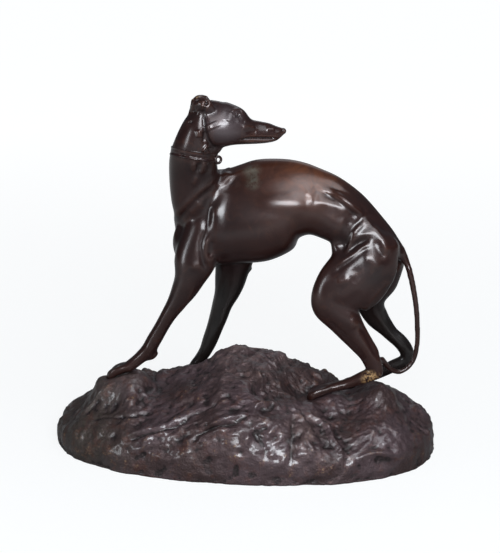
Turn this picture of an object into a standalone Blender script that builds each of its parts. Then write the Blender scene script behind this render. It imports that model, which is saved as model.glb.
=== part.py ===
"""Bronze whippet on a rock: a parlour bronze of a hound that stands with its back arched
and looks back over its left shoulder.

Two castings are modelled. The hound, with its collar and tail, is one solid, and the
rock that it is fixed to is the other. The origin is the middle of the rock's flat
underside, +X runs along the rock towards the tail, -Y faces the viewer and +Z is up.
"""

import bpy
import bmesh
import math
import numpy as np
from mathutils import Vector, noise

# Driving dimensions, in metres
BASE_LENGTH = 0.342
BASE_WIDTH = 0.206
ROCK_HEIGHT = 0.089
RIM_HEIGHT = 0.009
DOG_HEIGHT = 0.263
TAIL_THICKNESS = 0.0048
COLLAR_WIDTH = 0.0070
COLLAR_PROUD = 0.0008
TAG_DIAMETER = 0.0080
SEAT_GAP = 0.0003

# How finely the solids are faceted
VOXEL = 0.0016
DOG_TRIANGLES = 7000
ROCK_RINGS = 22
ROCK_SEGMENTS = 54

# Places on the hound are in 263rds of its height, about a millimetre each, measured
# from the middle of the rock and from the line that its feet stand near.
UNIT = DOG_HEIGHT / 263
STAND = ROCK_HEIGHT * 0.618

# Each station of a limb is x, y, z, half its thickness in the side view, half its width.
TORSO = [(-43, 0, 148, 29, 19), (-26, 0, 150, 41.5, 28), (-8, 0, 152.6, 42.2, 29.5),
         (9, 0, 155.6, 43.6, 30), (26, 0, 162, 43.8, 29), (39, 0, 168.8, 36, 26.8),
         (50, 0, 169, 32.6, 24.5), (61, 0, 167, 28.8, 22.5), (69, 0, 164.3, 27.8, 21),
         (79, 0, 159.2, 26.8, 20.5), (91, 0, 151.8, 24.5, 21), (106, 0, 141.4, 20, 20),
         (122, 0, 130.4, 14.5, 16), (133, 0, 124.5, 7.5, 9)]
NECK = [(-30, -2, 150, 27, 21), (-36, -5, 162, 26, 20), (-40.2, -9, 173, 23.3, 18.5),
        (-42.3, -13, 191.5, 21.4, 17.5), (-41.7, -17, 206, 20.6, 17),
        (-39, -20, 219, 18.2, 16), (-35, -21, 232, 15.8, 14.5), (-31.3, -21, 242, 13, 12)]
HEAD = [(-34, -21, 246.5, 9.5, 9), (-25.5, -20, 238.2, 18.8, 14.5), (-15, -18, 235.4, 19.2, 15.5),
        (-4, -15.5, 233.3, 15.9, 13.4), (4, -13.5, 229.4, 11.3, 10), (13, -11, 228.3, 9.8, 7.8),
        (21.5, -8.5, 227.6, 8.5, 6.6), (28, -7, 227.4, 6.3, 5.2), (33.6, -5, 228.8, 2.8, 3.2)]
EAR = [(-24, -28, 249, 4, 3), (-28.5, -30, 253.5, 6.2, 4), (-34, -28.5, 254, 6.4, 4),
       (-39.5, -25, 249.5, 5.2, 3.4), (-43.5, -21, 242, 3, 2.4)]
NEAR_FORELEG = [(-30, -17, 146, 19, 11), (-40.5, -22, 117, 18.6, 11.5),
                (-45.4, -24, 100.5, 13.5, 10), (-50.6, -25, 89.5, 11.2, 8.5),
                (-57, -25.5, 78.4, 8.7, 7.3), (-64.2, -26, 67.2, 7, 6.4),
                (-70.6, -26, 55.9, 6.6, 6.2), (-77, -26, 44.6, 6.8, 6.4),
                (-82.5, -26, 35.1, 6.6, 6.4), (-90.7, -26, 26.8, 5.6, 6.4),
                (-100, -27, 19, 5.2, 7)]
FAR_FORELEG = [(-12.2, 17, 112, 19.5, 10), (-14.2, 23, 97.8, 15.8, 10), (-17, 26, 84.4, 14, 9),
               (-20, 27, 73, 11.4, 8), (-23.8, 27, 63.4, 9.5, 7.2), (-27.5, 27, 51, 8.5, 6.6),
               (-31.4, 27, 39.4, 7.6, 6.4), (-35.3, 27, 28.7, 7.2, 6.4), (-39, 27, 19.5, 6.2, 6.4),
               (-44, 28, 11, 5.6, 6.6), (-49.5, 28, 3.5, 5.4, 7.2)]
NEAR_HIND_LEG = [(118, -11, 136, 19, 10.5), (110, -14, 121, 26.5, 12.8), (98, -17.5, 104, 29, 14),
                 (87, -20.5, 91.5, 26.6, 12.5), (81.5, -22.5, 80, 21, 10.5),
                 (88.6, -24, 70.5, 16, 9.5), (96.6, -24.5, 58.6, 12.6, 8),
                 (105, -25, 47.6, 10.2, 6.8), (111.4, -25, 38.9, 8.9, 5.8),
                 (115, -25, 30, 7.8, 5.4), (117.2, -25, 23, 7, 5.2),
                 (105.7, -25, 17, 5.8, 5), (93.7, -25, 11.4, 4.8, 4.6),
                 (82.4, -26, 8.2, 4.6, 5), (74, -27, 5.8, 4.8, 6.2)]
FAR_HIND_LEG = [(116, 12, 112, 23.5, 13), (113.5, 18, 90, 19.4, 11), (109.5, 22, 71, 13, 9),
                (116, 24, 57, 10.8, 7.5), (124.4, 25, 47, 8, 6.4), (130, 25, 41, 7, 6),
                (136, 25, 36, 7, 5.8), (141, 25, 30, 6.8, 5.6), (143.6, 25, 24, 6.6, 5.4),
                (142.5, 25, 17.4, 6.4, 5.2), (131, 25, 11.2, 6, 4.8), (117, 25.5, 3.4, 5.4, 4.6),
                (103, 26.5, -3.6, 4.6, 5.6)]
# Below 0 the trunk is wider low down than along the spine.
TORSO_EGG = -0.3
# The tail's stations give its route and its thickness as a share of TAIL_THICKNESS.
TAIL = [(128, 0, 128, 4.2), (138.6, 0, 119.3, 2.1), (143.3, -2, 109.2, 1.6),
        (147.8, -3, 91.7, 1.2), (150.8, -4, 74, 1.08), (152.2, -4, 55.8, 1.04),
        (152.2, -4, 42, 1), (150.1, -4, 29.9, 1), (145, -6, 22, 1), (137.6, -8, 18, 1),
        (130.3, -11, 21, 0.95), (125.9, -15, 27, 0.9), (122.5, -20, 33, 0.8)]

# Two places, as x and y, on the upright plane that halves the turned head.
POLL = (-26, -20)
NOSE = (34, -5)

# The middle of the collar, the way that the neck runs through it, and a reach round it
# that takes in the whole neck.
COLLAR = (-41.5, -16.5, 207)
NECK_WAY = (0.05, -0.28, 1)
NECK_REACH = 34
# The head's strokes work above this level.
CHIN = 214

# A paw runs from the end of its leg to the tips of its toes.
PAWS = {"near_fore": ((-98, -27, 21), (-118.5, -27.5, 10.5)),
        "far_fore": ((-50, 28, 2), (-69.5, 28.5, -10)),
        "near_hind": ((77, -27, 7), (60, -31, 0)),
        "far_hind": ((101, 27, -5), (84, 29.5, -12))}
TOES = 4
PAW_WIDTH = 15

# The footprint is a superellipse of this power, 2 being an ellipse.
FOOTPRINT_POWER = 2.3
# How fast the rock falls from its ridge to its rim, as a share of its height.
FALL_NEAR = 0.42
FALL_FAR = 0.60
LUMP_SIZE = 0.030
LUMP_HEIGHT = 0.0035
# How far round a paw the rock is shaped to carry it, and where the shaping starts to fade.
SEAT_REACH = 0.025
SEAT_FADE = 0.018
# The knob of rock under the near hock, which is brazed to it.
HOCK = (122, -24, 12.6)
KNOB_REACH = 0.015
# The rock's skyline from end to end: places in half lengths, heights in rock heights.
SKYLINE = [(-1, 0.14), (-0.97, 0.27), (-0.915, 0.35), (-0.825, 0.46), (-0.79, 0.515),
           (-0.64, 0.61), (-0.54, 0.685), (-0.47, 0.665), (-0.41, 0.695), (-0.34, 0.745),
           (-0.24, 0.79), (-0.155, 0.88), (-0.08, 1), (0, 1), (0.09, 0.97), (0.21, 0.90),
           (0.29, 0.83), (0.38, 0.75), (0.43, 0.64), (0.5, 0.575), (0.57, 0.6), (0.66, 0.64),
           (0.75, 0.615), (0.82, 0.53), (0.906, 0.43), (0.97, 0.32), (1, 0.14)]


def place(x, y, z):
    """A place on the hound in metres."""
    return Vector((x * UNIT, y * UNIT, STAND + z * UNIT))


def through(stations, steps):
    """Rows on a smooth curve through the stations, with this many between each pair."""
    keys = np.array(stations, dtype=float)
    keys = np.vstack([2 * keys[0] - keys[1], keys, 2 * keys[-1] - keys[-2]])
    rows = []
    for i in range(1, len(keys) - 2):
        a, b, c, d = keys[i - 1:i + 3]
        for t in np.arange(steps) / steps:
            rows.append(0.5 * (2 * b + (c - a) * t + (2 * a - 5 * b + 4 * c - d) * t ** 2
                               + (3 * b - a - 3 * c + d) * t ** 3))
    rows.append(keys[-2])
    return np.array(rows)


def loft(bm, stations, egg=0.0, steps=4, sides=20):
    """Add a closed skin through the stations, with rounded ends.

    Above 0, egg makes the section wider at its top than at its bottom.
    """
    rows = through(stations, steps)
    # Each ring squares up to a stretch of the path and not to its sharpest bend
    last = len(rows) - 1
    ahead = rows[np.minimum(np.arange(last + 1) + steps, last), :3]
    behind = rows[np.maximum(np.arange(last + 1) - steps, 0), :3]
    tangents = ahead - behind
    tangents /= np.linalg.norm(tangents, axis=1)[:, None]
    for end, way in ((0, -1), (-1, 1)):
        radius = min(rows[end, 3], rows[end, 4])
        caps = []
        for turn in (0.4, 0.8, 1.2, 1.45):
            cap = rows[end].copy()
            cap[:3] += tangents[end] * way * radius * math.sin(turn)
            cap[3:5] *= math.cos(turn)
            caps.append(cap)
        ends = np.repeat(tangents[end][None, :], len(caps), axis=0)
        if way < 0:
            rows = np.vstack([caps[::-1], rows])
            tangents = np.vstack([ends, tangents])
        else:
            rows = np.vstack([rows, caps])
            tangents = np.vstack([tangents, ends])
    rings = []
    for row, tangent in zip(rows, tangents):
        along = Vector(tangent)
        across = Vector((0, 1, 0))
        across = (across - along * across.dot(along)).normalized()
        up = along.cross(across)
        ring = []
        for i in range(sides):
            angle = math.tau * i / sides
            height = row[3] * math.cos(angle)
            width = row[4] * math.sin(angle) * (1 + egg * math.cos(angle))
            ring.append(bm.verts.new(Vector(row[:3]) + up * height + across * width))
        rings.append(ring)
    for ring, following in zip(rings, rings[1:]):
        for i in range(sides):
            j = (i + 1) % sides
            bm.faces.new((ring[i], ring[j], following[j], following[i]))
    bm.faces.new(rings[0][::-1])
    bm.faces.new(rings[-1])


def muscle(bm, start, end, thickness, width):
    """Add a spindle that swells between two places."""
    start = np.array(start, dtype=float)
    end = np.array(end, dtype=float)
    stations = []
    for share, swell in ((0.05, 0.45), (0.3, 0.9), (0.5, 1), (0.7, 0.9), (0.95, 0.45)):
        spot = start + (end - start) * share
        stations.append((*spot, thickness * swell, width * swell))
    loft(bm, stations)


def paw(bm, heel, tip):
    """Add a paw: a pad and four arched toes with their nails."""
    heel = np.array(heel, dtype=float)
    tip = np.array(tip, dtype=float)
    loft(bm, [(*heel, 4.6, 6), (*(heel * 0.5 + tip * 0.5 - (0, 0, 1)), 3.6, 6.2)])
    for toe in range(TOES):
        across = (toe / (TOES - 1) - 0.5) * 2
        reach = 1 - 0.16 * abs(across)
        side = np.array((0, across * PAW_WIDTH * 0.36, 0))
        root = heel + side * 0.8
        knuckle = heel + (tip - heel) * 0.6 * reach + side * 1.05 + (0, 0, 1.7)
        last = heel + (tip - heel) * 0.93 * reach + side + (0, 0, 1)
        nail = heel + (tip - heel) * 1.07 * reach + side - (0, 0, 1.4)
        loft(bm, [(*root, 2.6, 2.3), (*knuckle, 3.6, 2.6), (*last, 3.2, 2.5), (*nail, 1.3, 1.2)],
             sides=12)


def across_head(points):
    """The same points or stations, mirrored to the head's other side."""
    ahead = np.subtract(NOSE, POLL) / math.dist(NOSE, POLL)
    across = np.array((-ahead[1], ahead[0]))
    result = []
    for x, y, *rest in points:
        gap = np.subtract((x, y), POLL) @ across
        result.append((x - 2 * gap * across[0], y - 2 * gap * across[1], *rest))
    return result


def hound_skins():
    """The overlapping skins of the hound's body, limbs, head and tail."""
    bm = bmesh.new()
    loft(bm, TORSO, egg=TORSO_EGG)
    loft(bm, NECK)
    loft(bm, HEAD, egg=0.06)
    for ear in (EAR, across_head(EAR)):
        loft(bm, ear, sides=12)
    for leg in (NEAR_FORELEG, FAR_FORELEG, NEAR_HIND_LEG, FAR_HIND_LEG):
        loft(bm, leg)
    for heel, tip in PAWS.values():
        paw(bm, heel, tip)
    thickness = TAIL_THICKNESS / UNIT / 2
    loft(bm, [(x, y, z, thickness * share, thickness * share) for x, y, z, share in TAIL], sides=12)
    for side in (-1, 1):
        # Shoulder blade, upper arm and the breast in front of it
        muscle(bm, (-12, side * 15, 192), (-42, side * 20, 140), 13, 11)
        muscle(bm, (-46, side * 18, 140), (-24, side * 23, 118), 14, 8)
        muscle(bm, (-51, side * 9, 151), (-50.5, side * 15, 110), 11, 9)
        # Loin, hip and buttock
        muscle(bm, (70, side * 9, 178), (104, side * 12, 158), 9, 9)
        muscle(bm, (98, side * 13, 155), (129, side * 11, 116), 12, 9.5)
        # The fold of skin from the flank to the thigh
        muscle(bm, (79, side * 13, 149), (83.5, side * 18, 112), 5.4, 6)
    # The throat
    muscle(bm, (-16, -20, 224), (-26, -20, 209), 4.6, 7)
    # The heels of the hocks and the bends in front of them
    muscle(bm, (116, -25, 36), (122, -25, 20), 4.6, 4.6)
    muscle(bm, (109, -25, 30), (101, -25, 18), 3, 4)
    muscle(bm, (143, 25, 33), (148, 25, 15), 4.6, 4.4)
    muscle(bm, (135, 25, 25), (127, 25, 12), 2.6, 3.8)
    # The pads behind the wrists
    muscle(bm, (-73, -26, 33), (-82.5, -26, 25.5), 2.4, 3.6)
    muscle(bm, (-31, 27, 30), (-34, 27, 21), 2.6, 3.6)
    # The point of each elbow
    muscle(bm, (-30, -24, 124), (-24, -25, 112), 5, 5)
    muscle(bm, (-8, 22, 106), (3, 23, 98), 6, 5)
    # The crest of the skull, the brow and the tip of the nose
    muscle(bm, (-35, -22, 253.6), (-8, -17, 248.4), 5, 6)
    for side in (-1, 1):
        muscle(bm, (-12, -16 + side * 7, 246.5), (-1, -14.5 + side * 6, 241.5), 2.6, 3.2)
    muscle(bm, (29, -6, 229.6), (34.8, -4.8, 229.6), 2, 2.9)
    # The ring that hangs from the collar
    radius = TAG_DIAMETER / UNIT / 2
    muscle(bm, (-19.5, -20, 209), (-17, -20, 200), radius * 0.7, radius * 0.7)
    for vert in bm.verts:
        vert.co = place(*vert.co)
    bmesh.ops.recalc_face_normals(bm, faces=bm.faces)
    return bm


def mesh_object(name, bm, collection):
    """A named object from a bmesh, in one of the collections."""
    mesh = bpy.data.meshes.new(name)
    bm.to_mesh(mesh)
    bm.free()
    thing = bpy.data.objects.new(name, mesh)
    collection.objects.link(thing)
    return thing


def settle(thing):
    """Apply the object's modifiers to its mesh."""
    graph = bpy.context.evaluated_depsgraph_get()
    mesh = bpy.data.meshes.new_from_object(thing.evaluated_get(graph))
    old = thing.data
    thing.modifiers.clear()
    thing.data = mesh
    bpy.data.meshes.remove(old)


def read(mesh):
    """The mesh's vertices and their normals as arrays."""
    spots = np.empty(len(mesh.vertices) * 3)
    mesh.vertices.foreach_get("co", spots)
    normals = np.empty(len(mesh.vertices) * 3)
    mesh.vertex_normals.foreach_get("vector", normals)
    return spots.reshape(-1, 3), normals.reshape(-1, 3)


def girth(spots):
    """For each vertex, the half thickness of the limb that it is on, in units."""
    limbs = [TORSO, NECK, HEAD, EAR, NEAR_FORELEG, FAR_FORELEG, NEAR_HIND_LEG, FAR_HIND_LEG]
    rows = [through(limb, 3)[:, :5] for limb in limbs]
    rows.append(np.array([(x, y, z, 2.4, 2.4) for x, y, z, share in through(TAIL, 3)]))
    for heel, tip in PAWS.values():
        rows.append(np.array([(*tip, 2.4, 2.4), (*heel, 4, 4)]))
    rows = np.vstack(rows)
    best = np.full(len(spots), np.inf)
    result = np.zeros(len(spots))
    for x, y, z, thick, wide in rows:
        radius = min(thick, wide)
        gap = np.linalg.norm(spots - np.array((x, y, z)), axis=1) / max(thick, wide)
        closer = gap < best
        best[closer] = gap[closer]
        result[closer] = radius
    return result


def blend_skins(hound):
    """Fuse the skins into one and soften the creases, less where a limb is thin."""
    fuse = hound.modifiers.new("fuse", "REMESH")
    fuse.mode = "VOXEL"
    fuse.voxel_size = VOXEL
    settle(hound)
    spots, normals = read(hound.data)
    local = (spots - np.array((0, 0, STAND))) / UNIT
    softness = np.clip((girth(local) - 2) / 9, 0.05, 1)
    group = hound.vertex_groups.new(name="softness")
    for level in range(1, 11):
        share = level / 10
        chosen = np.nonzero(np.abs(softness - share) <= 0.05001)[0]
        group.add(chosen.tolist(), share, "REPLACE")
    soften = hound.modifiers.new("soften", "SMOOTH")
    soften.factor = 0.5
    soften.iterations = 9
    soften.vertex_group = group.name
    settle(hound)
    hound.vertex_groups.clear()


def line_distance(flat, points):
    """How far each point of the side view lies from a line through the given points."""
    rows = through(points, 5)
    best = np.full(len(flat), np.inf)
    for a, b in zip(rows, rows[1:]):
        step = b - a
        share = np.clip(((flat - a) @ step) / (step @ step), 0, 1)
        gap = np.linalg.norm(flat - a - share[:, None] * step, axis=1)
        best = np.minimum(best, gap)
    return best


# Strokes are drawn in the side view: the points of the line as x and z, its width, and
# how far it lifts the surface (below 0 it cuts). On the body they work in this range of y.
BODY = (6, 60)
BOTH_FLANKS = [
    ([(2, 198), (-9, 194), (-16, 188), (-24, 181), (-29, 167), (-33, 152)], 4.5, 1.3),
    ([(-22, 199), (-31, 187), (-43, 168), (-58, 150)], 4, -1.2),
    ([(-9, 184), (-13, 168), (-18, 152)], 5, -0.9),
    ([(-24, 151), (-29, 137), (-30, 124), (-26, 115)], 2.8, -1.6),
    ([(-19, 126), (-17, 118)], 3, 1),
    ([(74, 182), (87, 177), (97, 166), (105, 162)], 3.4, 1),
    ([(79, 172), (87, 168), (95, 162), (104, 161)], 2.6, -0.8),
    ([(69, 174), (79, 169), (87, 159)], 3.4, 0.8),
    ([(106, 162), (97, 152), (91, 139), (88, 127)], 3.2, -1.6),
    ([(106, 159), (112, 151), (111, 142)], 3, 1.2),
    ([(109, 140), (96, 128), (84, 118)], 4.5, 1.3),
    ([(125, 141), (126, 130), (122, 118)], 4, -1.2),
]
NEAR_FLANK = [
    ([(-33, 233), (-27, 222), (-32, 209), (-39, 196)], 3.2, 1),
    ([(-31, 203), (-38, 190)], 2.6, 0.9),
    ([(114, 53), (123, 31)], 2.4, -0.9),
    ([(-32, 243), (-31, 231), (-26, 223), (-19, 219)], 2.6, -1.5),
]

# The mouth, the eye's socket and its lids, and the ear's hollow. The last pair is the
# range of distances from the head's middle plane.
HEAD_SIDES = [
    ([(-2, 224.6), (12, 224.4), (29, 225)], 1.7, -1.4, (1, 20)),
    ([(-9, 240), (-3, 238), (3, 235)], 2.4, -1.1, (4, 20)),
    ([(-6, 243.5), (-1, 243)], 2, 0.9, (4, 20)),
    ([(-37, 252), (-31, 252.5)], 2.2, -2, (6, 20)),
]


def stroke(spots, normals, line, width, lift, reach, side):
    """Raise or cut the surface along a line drawn on one side of the hound."""
    flat = spots[:, [0, 2]]
    gap = line_distance(flat, line) / width
    faces = np.clip(normals[:, 1] * side * 2.5 + 0.2, 0, 1)
    low, high = reach
    within = (spots[:, 1] * side > low) & (spots[:, 1] * side < high)
    amount = lift * np.exp(-gap ** 2) * faces * within
    spots += normals * amount[:, None]


def carve(hound):
    """Cut the folds, muscles, mouth, eyes and collar into the blended skin."""
    mesh = hound.data
    spots, normals = read(mesh)
    spots = (spots - np.array((0, 0, STAND))) / UNIT
    for line, width, lift in BOTH_FLANKS:
        stroke(spots, normals, line, width, lift, BODY, -1)
        stroke(spots, normals, line, width, lift, BODY, 1)
    for line, width, lift in NEAR_FLANK:
        stroke(spots, normals, line, width, lift, BODY, -1)
    for side in (-1, 1):
        # The head's strokes are drawn about its own middle plane
        drawn = spots.copy()
        drawn[:, 1] -= np.interp(spots[:, 0], (POLL[0], NOSE[0]), (POLL[1], NOSE[1]))
        before = drawn.copy()
        for line, width, lift, reach in HEAD_SIDES:
            stroke(drawn, normals, line, width, lift, reach, side)
        above = spots[:, 2] > CHIN
        spots[above] += (drawn - before)[above]
    axis = np.array(COLLAR)
    lean = np.array(NECK_WAY) / np.linalg.norm(NECK_WAY)
    along = (spots - axis) @ lean
    out = np.linalg.norm(spots - axis - along[:, None] * lean, axis=1)
    half = COLLAR_WIDTH / UNIT / 2
    band = np.clip((half - np.abs(along)) / 1.2 + 0.5, 0, 1) * (out < NECK_REACH)
    spots += normals * (band * COLLAR_PROUD / UNIT)[:, None]
    spots = spots * UNIT + np.array((0, 0, STAND))
    mesh.vertices.foreach_set("co", spots.ravel())
    mesh.update()


def footprint(angle, share=1.0):
    """A place on the footprint, from its middle at share 0 to its rim at share 1."""
    power = 2 / FOOTPRINT_POWER
    cosine = math.cos(angle)
    sine = math.sin(angle)
    x = BASE_LENGTH / 2 * share * math.copysign(abs(cosine) ** power, cosine)
    y = BASE_WIDTH / 2 * share * math.copysign(abs(sine) ** power, sine)
    return x, y


def mound(x, y):
    """The smooth height of the rock, with lumps and slanting ledges worked over it."""
    along = min(abs(x) / (BASE_LENGTH / 2), 1)
    places, heights = zip(*SKYLINE)
    skyline = np.interp(x / (BASE_LENGTH / 2), places, heights) * ROCK_HEIGHT
    edge = BASE_WIDTH / 2 * (1 - along ** FOOTPRINT_POWER) ** (1 / FOOTPRINT_POWER)
    out = min(abs(y) / max(edge, SEAT_GAP), 1)
    fall = FALL_NEAR if y < 0 else FALL_FAR
    height = RIM_HEIGHT + (skyline - RIM_HEIGHT) * (1 - fall * out) * (1 - out ** 9) ** 0.55
    inner = 1 - max(along, out) ** 6
    lumps = noise.noise(Vector((x, y, height)) / LUMP_SIZE)
    slant = noise.noise(Vector((x - height * 1.3, y * 0.6, LUMP_SIZE * 4)) / LUMP_SIZE)
    return height + (lumps + slant) * LUMP_HEIGHT * inner


def seat(heel, tip, x, y):
    """The height of a paw's seat near a place, and how firmly the place is held to it."""
    first = place(*heel) - Vector((0, 0, 5.2 * UNIT))
    last = place(*tip) - Vector((0, 0, 2.4 * UNIT))
    run = (last - first).to_2d()
    share = (Vector((x, y)) - first.to_2d()).dot(run) / run.length_squared
    nearest = first.lerp(last, min(max(share, 0), 1))
    gap = (Vector((x, y)) - nearest.to_2d()).length
    hold = min(max((SEAT_REACH - gap) / SEAT_FADE, 0), 1)
    return nearest.z, hold * hold * (3 - 2 * hold)


def rock_surface(x, y):
    """The height of the rock over a place on its footprint."""
    height = mound(x, y)
    for heel, tip in PAWS.values():
        level, hold = seat(heel, tip, x, y)
        height += (level - height) * hold
    hock = place(*HOCK)
    gap = (Vector((x, y)) - hock.to_2d()).length
    height += max(hock.z - height, 0) * math.exp(-(gap / KNOB_REACH) ** 2)
    return max(height, RIM_HEIGHT)


def rock(collection):
    """The rock: rings of the footprint raised to its surface, over a flat underside."""
    bm = bmesh.new()
    rings = []
    for ring in range(1, ROCK_RINGS + 1):
        share = (ring / ROCK_RINGS) ** 0.8
        verts = []
        for i in range(ROCK_SEGMENTS):
            x, y = footprint(math.tau * (i + 0.5 * (ring % 2)) / ROCK_SEGMENTS, share)
            verts.append(bm.verts.new((x, y, rock_surface(x, y))))
        rings.append(verts)
    top = bm.verts.new((0, 0, rock_surface(0, 0)))
    count = ROCK_SEGMENTS
    for i in range(count):
        bm.faces.new((top, rings[0][i], rings[0][(i + 1) % count]))
    for number, (inner, outer) in enumerate(zip(rings, rings[1:]), start=1):
        for i in range(count):
            j = (i + 1) % count
            if number % 2:
                bm.faces.new((inner[i], outer[i], outer[j]))
                bm.faces.new((inner[i], outer[j], inner[j]))
            else:
                bm.faces.new((inner[i], outer[i], inner[j]))
                bm.faces.new((inner[j], outer[i], outer[j]))
    rim = rings[-1]
    foot = [bm.verts.new((vert.co.x, vert.co.y, 0)) for vert in rim]
    for i in range(count):
        j = (i + 1) % count
        bm.faces.new((rim[i], foot[i], foot[j], rim[j]))
    bm.faces.new(foot[::-1])
    bmesh.ops.recalc_face_normals(bm, faces=bm.faces)
    return mesh_object("rock_base", bm, collection)


def hound(collection):
    """The hound, blended from its skins, carved and reduced to few faces."""
    thing = mesh_object("whippet", hound_skins(), collection)
    blend_skins(thing)
    carve(thing)
    thin = thing.modifiers.new("thin", "DECIMATE")
    thin.ratio = DOG_TRIANGLES / (2 * len(thing.data.polygons))
    settle(thing)
    return thing


def seat_paws(thing, rock_base, cutters):
    """Cut the soles to the rock's own facets, with the seat gap between them."""
    cutter = bpy.data.objects.new("sole_cutter", rock_base.data.copy())
    cutter.location.z = SEAT_GAP
    cutter.hide_render = True
    cutter.display_type = "WIRE"
    cutters.objects.link(cutter)
    soles = thing.modifiers.new("soles", "BOOLEAN")
    soles.operation = "DIFFERENCE"
    soles.object = cutter


def finish(name, colour, metallic, roughness):
    """A plain Principled material."""
    material = bpy.data.materials.new(name)
    material.use_nodes = True
    shader = material.node_tree.nodes["Principled BSDF"]
    shader.inputs["Base Color"].default_value = (*colour, 1)
    shader.inputs["Metallic"].default_value = metallic
    shader.inputs["Roughness"].default_value = roughness
    return material


def main():
    for thing in list(bpy.data.objects):
        bpy.data.objects.remove(thing)
    parts = bpy.data.collections.new("bronze_whippet")
    cutters = bpy.data.collections.new("cutters")
    for collection in (parts, cutters):
        bpy.context.scene.collection.children.link(collection)
    rock_base = rock(parts)
    rock_base.data.materials.append(finish("rock bronze", (0.050, 0.028, 0.026), 0.8, 0.45))
    whippet = hound(parts)
    whippet.data.materials.append(finish("hound bronze", (0.075, 0.034, 0.022), 0.8, 0.30))
    seat_paws(whippet, rock_base, cutters)
    for thing in (rock_base, whippet):
        thing.data.shade_smooth()
        thing.data.set_sharp_from_angle(angle=math.radians(50))


main()
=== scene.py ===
"""The bronze whippet as it looks in the studio: a dark waxed hound on a rough rock.

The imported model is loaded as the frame. The hound, its collar and the rock are then made
finely enough to show their carving, and each is given its patina.
"""
import math

import bpy
import bmesh
import numpy as np
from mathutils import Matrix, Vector, noise
from mathutils.bvhtree import BVHTree


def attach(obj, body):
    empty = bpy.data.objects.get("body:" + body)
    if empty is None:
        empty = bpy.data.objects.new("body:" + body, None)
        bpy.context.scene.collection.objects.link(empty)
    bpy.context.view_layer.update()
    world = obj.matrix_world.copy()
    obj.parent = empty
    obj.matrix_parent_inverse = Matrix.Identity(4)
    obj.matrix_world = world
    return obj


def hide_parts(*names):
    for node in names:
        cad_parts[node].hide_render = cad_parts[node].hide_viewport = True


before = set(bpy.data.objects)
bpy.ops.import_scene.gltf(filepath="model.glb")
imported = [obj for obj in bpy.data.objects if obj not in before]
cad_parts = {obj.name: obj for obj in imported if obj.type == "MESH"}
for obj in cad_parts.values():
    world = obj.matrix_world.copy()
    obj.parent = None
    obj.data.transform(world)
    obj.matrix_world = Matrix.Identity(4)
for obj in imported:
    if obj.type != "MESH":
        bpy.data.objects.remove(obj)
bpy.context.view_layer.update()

# Camera and studio
# The bronze stands on a white table in a pale studio. A wide soft lamp hangs just above
# the camera, with weaker ones over it, high on its right and behind the bronze, and a
# narrow one low on its left.
CAMERA_TURN = math.radians(7)
CAMERA_RISE = math.radians(16)
CAMERA_REACH = 1.3
AIM = Vector((0.0047, 0, 0.153))


def seen_from(turn, rise, reach):
    """The place at that distance from the aim, turned round from the front and raised."""
    flat = Vector((math.sin(turn), -math.cos(turn), 0)) * math.cos(rise)
    return AIM + (flat + Vector((0, 0, math.sin(rise)))) * reach


bpy.ops.object.camera_add(location=seen_from(CAMERA_TURN, CAMERA_RISE, CAMERA_REACH))
camera = bpy.context.object
camera.name = "photo_camera"
camera.rotation_euler = (AIM - camera.location).to_track_quat("-Z", "Y").to_euler()
camera.data.lens = 96.4
camera.data.sensor_width = 36
camera.data.clip_start = 0.05
bpy.context.scene.camera = camera
bpy.context.scene.view_settings.view_transform = "Standard"


class Socket:
    """A node's output that adds Math nodes when it is used in an expression."""

    def __init__(self, tree, output):
        self.tree = tree
        self.output = output

    def node(self, kind, settings=None, **values):
        """Add a node of any kind: its settings first, then its sockets by name."""
        made = self.tree.nodes.new(kind)
        for name, value in (settings or {}).items():
            if name == "stops":
                ramp = made.color_ramp.elements
                while len(ramp) < len(value):
                    ramp.new(1)
                for stop, (position, colour) in zip(ramp, value):
                    stop.position = position
                    stop.color = (*colour, 1)
            else:
                setattr(made, name, value)
        for name, value in values.items():
            socket = made.inputs[int(name[1:])] if name[1:].isdigit() else made.inputs[name.replace("_", " ")]
            if isinstance(value, Socket):
                self.tree.links.new(value.output, socket)
            else:
                socket.default_value = value
        return made

    def maths(self, operation, first, second):
        """A Math node on two values."""
        made = self.node("ShaderNodeMath", {"operation": operation}, i0=first, i1=second)
        return Socket(self.tree, made.outputs[0])

    def __add__(self, other):
        return self.maths("ADD", self, other)

    def __radd__(self, other):
        return self.maths("ADD", other, self)

    def __mul__(self, other):
        return self.maths("MULTIPLY", self, other)

    def __rmul__(self, other):
        return self.maths("MULTIPLY", other, self)


def output(made, name=0):
    """A node's output as a Socket."""
    return Socket(made.id_data, made.outputs[name])


def blend_colour(share, first, second):
    """A colour between two, by the share of the second."""
    made = share.node("ShaderNodeMix", {"data_type": "RGBA"})
    tree = share.tree
    tree.links.new(share.output, made.inputs[0])
    for socket, colour in ((made.inputs[6], first), (made.inputs[7], second)):
        if isinstance(colour, Socket):
            tree.links.new(colour.output, socket)
        else:
            socket.default_value = (*colour, 1)
    return Socket(tree, made.outputs[2])


def feed(shader, name, value):
    """Drive one of the shader's sockets by a value."""
    shader.id_data.links.new(value.output, shader.inputs[name])


world = bpy.data.worlds.new("studio_room")
bpy.context.scene.world = world
world.use_nodes = True
# The backdrop is white to the eye. The room that the bronze mirrors is dim, and a little
# lighter overhead than it is level with the table.
backdrop = world.node_tree.nodes["Background"]
way = output(world.node_tree.nodes.new("ShaderNodeTexCoord"), "Generated")
axes = way.node("ShaderNodeSeparateXYZ", None, Vector=way)
dim = way.node("ShaderNodeValToRGB", {"stops": ((0.05, (0.035, 0.035, 0.04)), (0.55, (0.12, 0.12, 0.135)))},
               i0=output(axes, "Z"))
seen = output(way.node("ShaderNodeLightPath"), "Is Camera Ray")
feed(backdrop, "Color", blend_colour(seen, output(dim), (1.1, 1.12, 1.13)))


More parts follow.
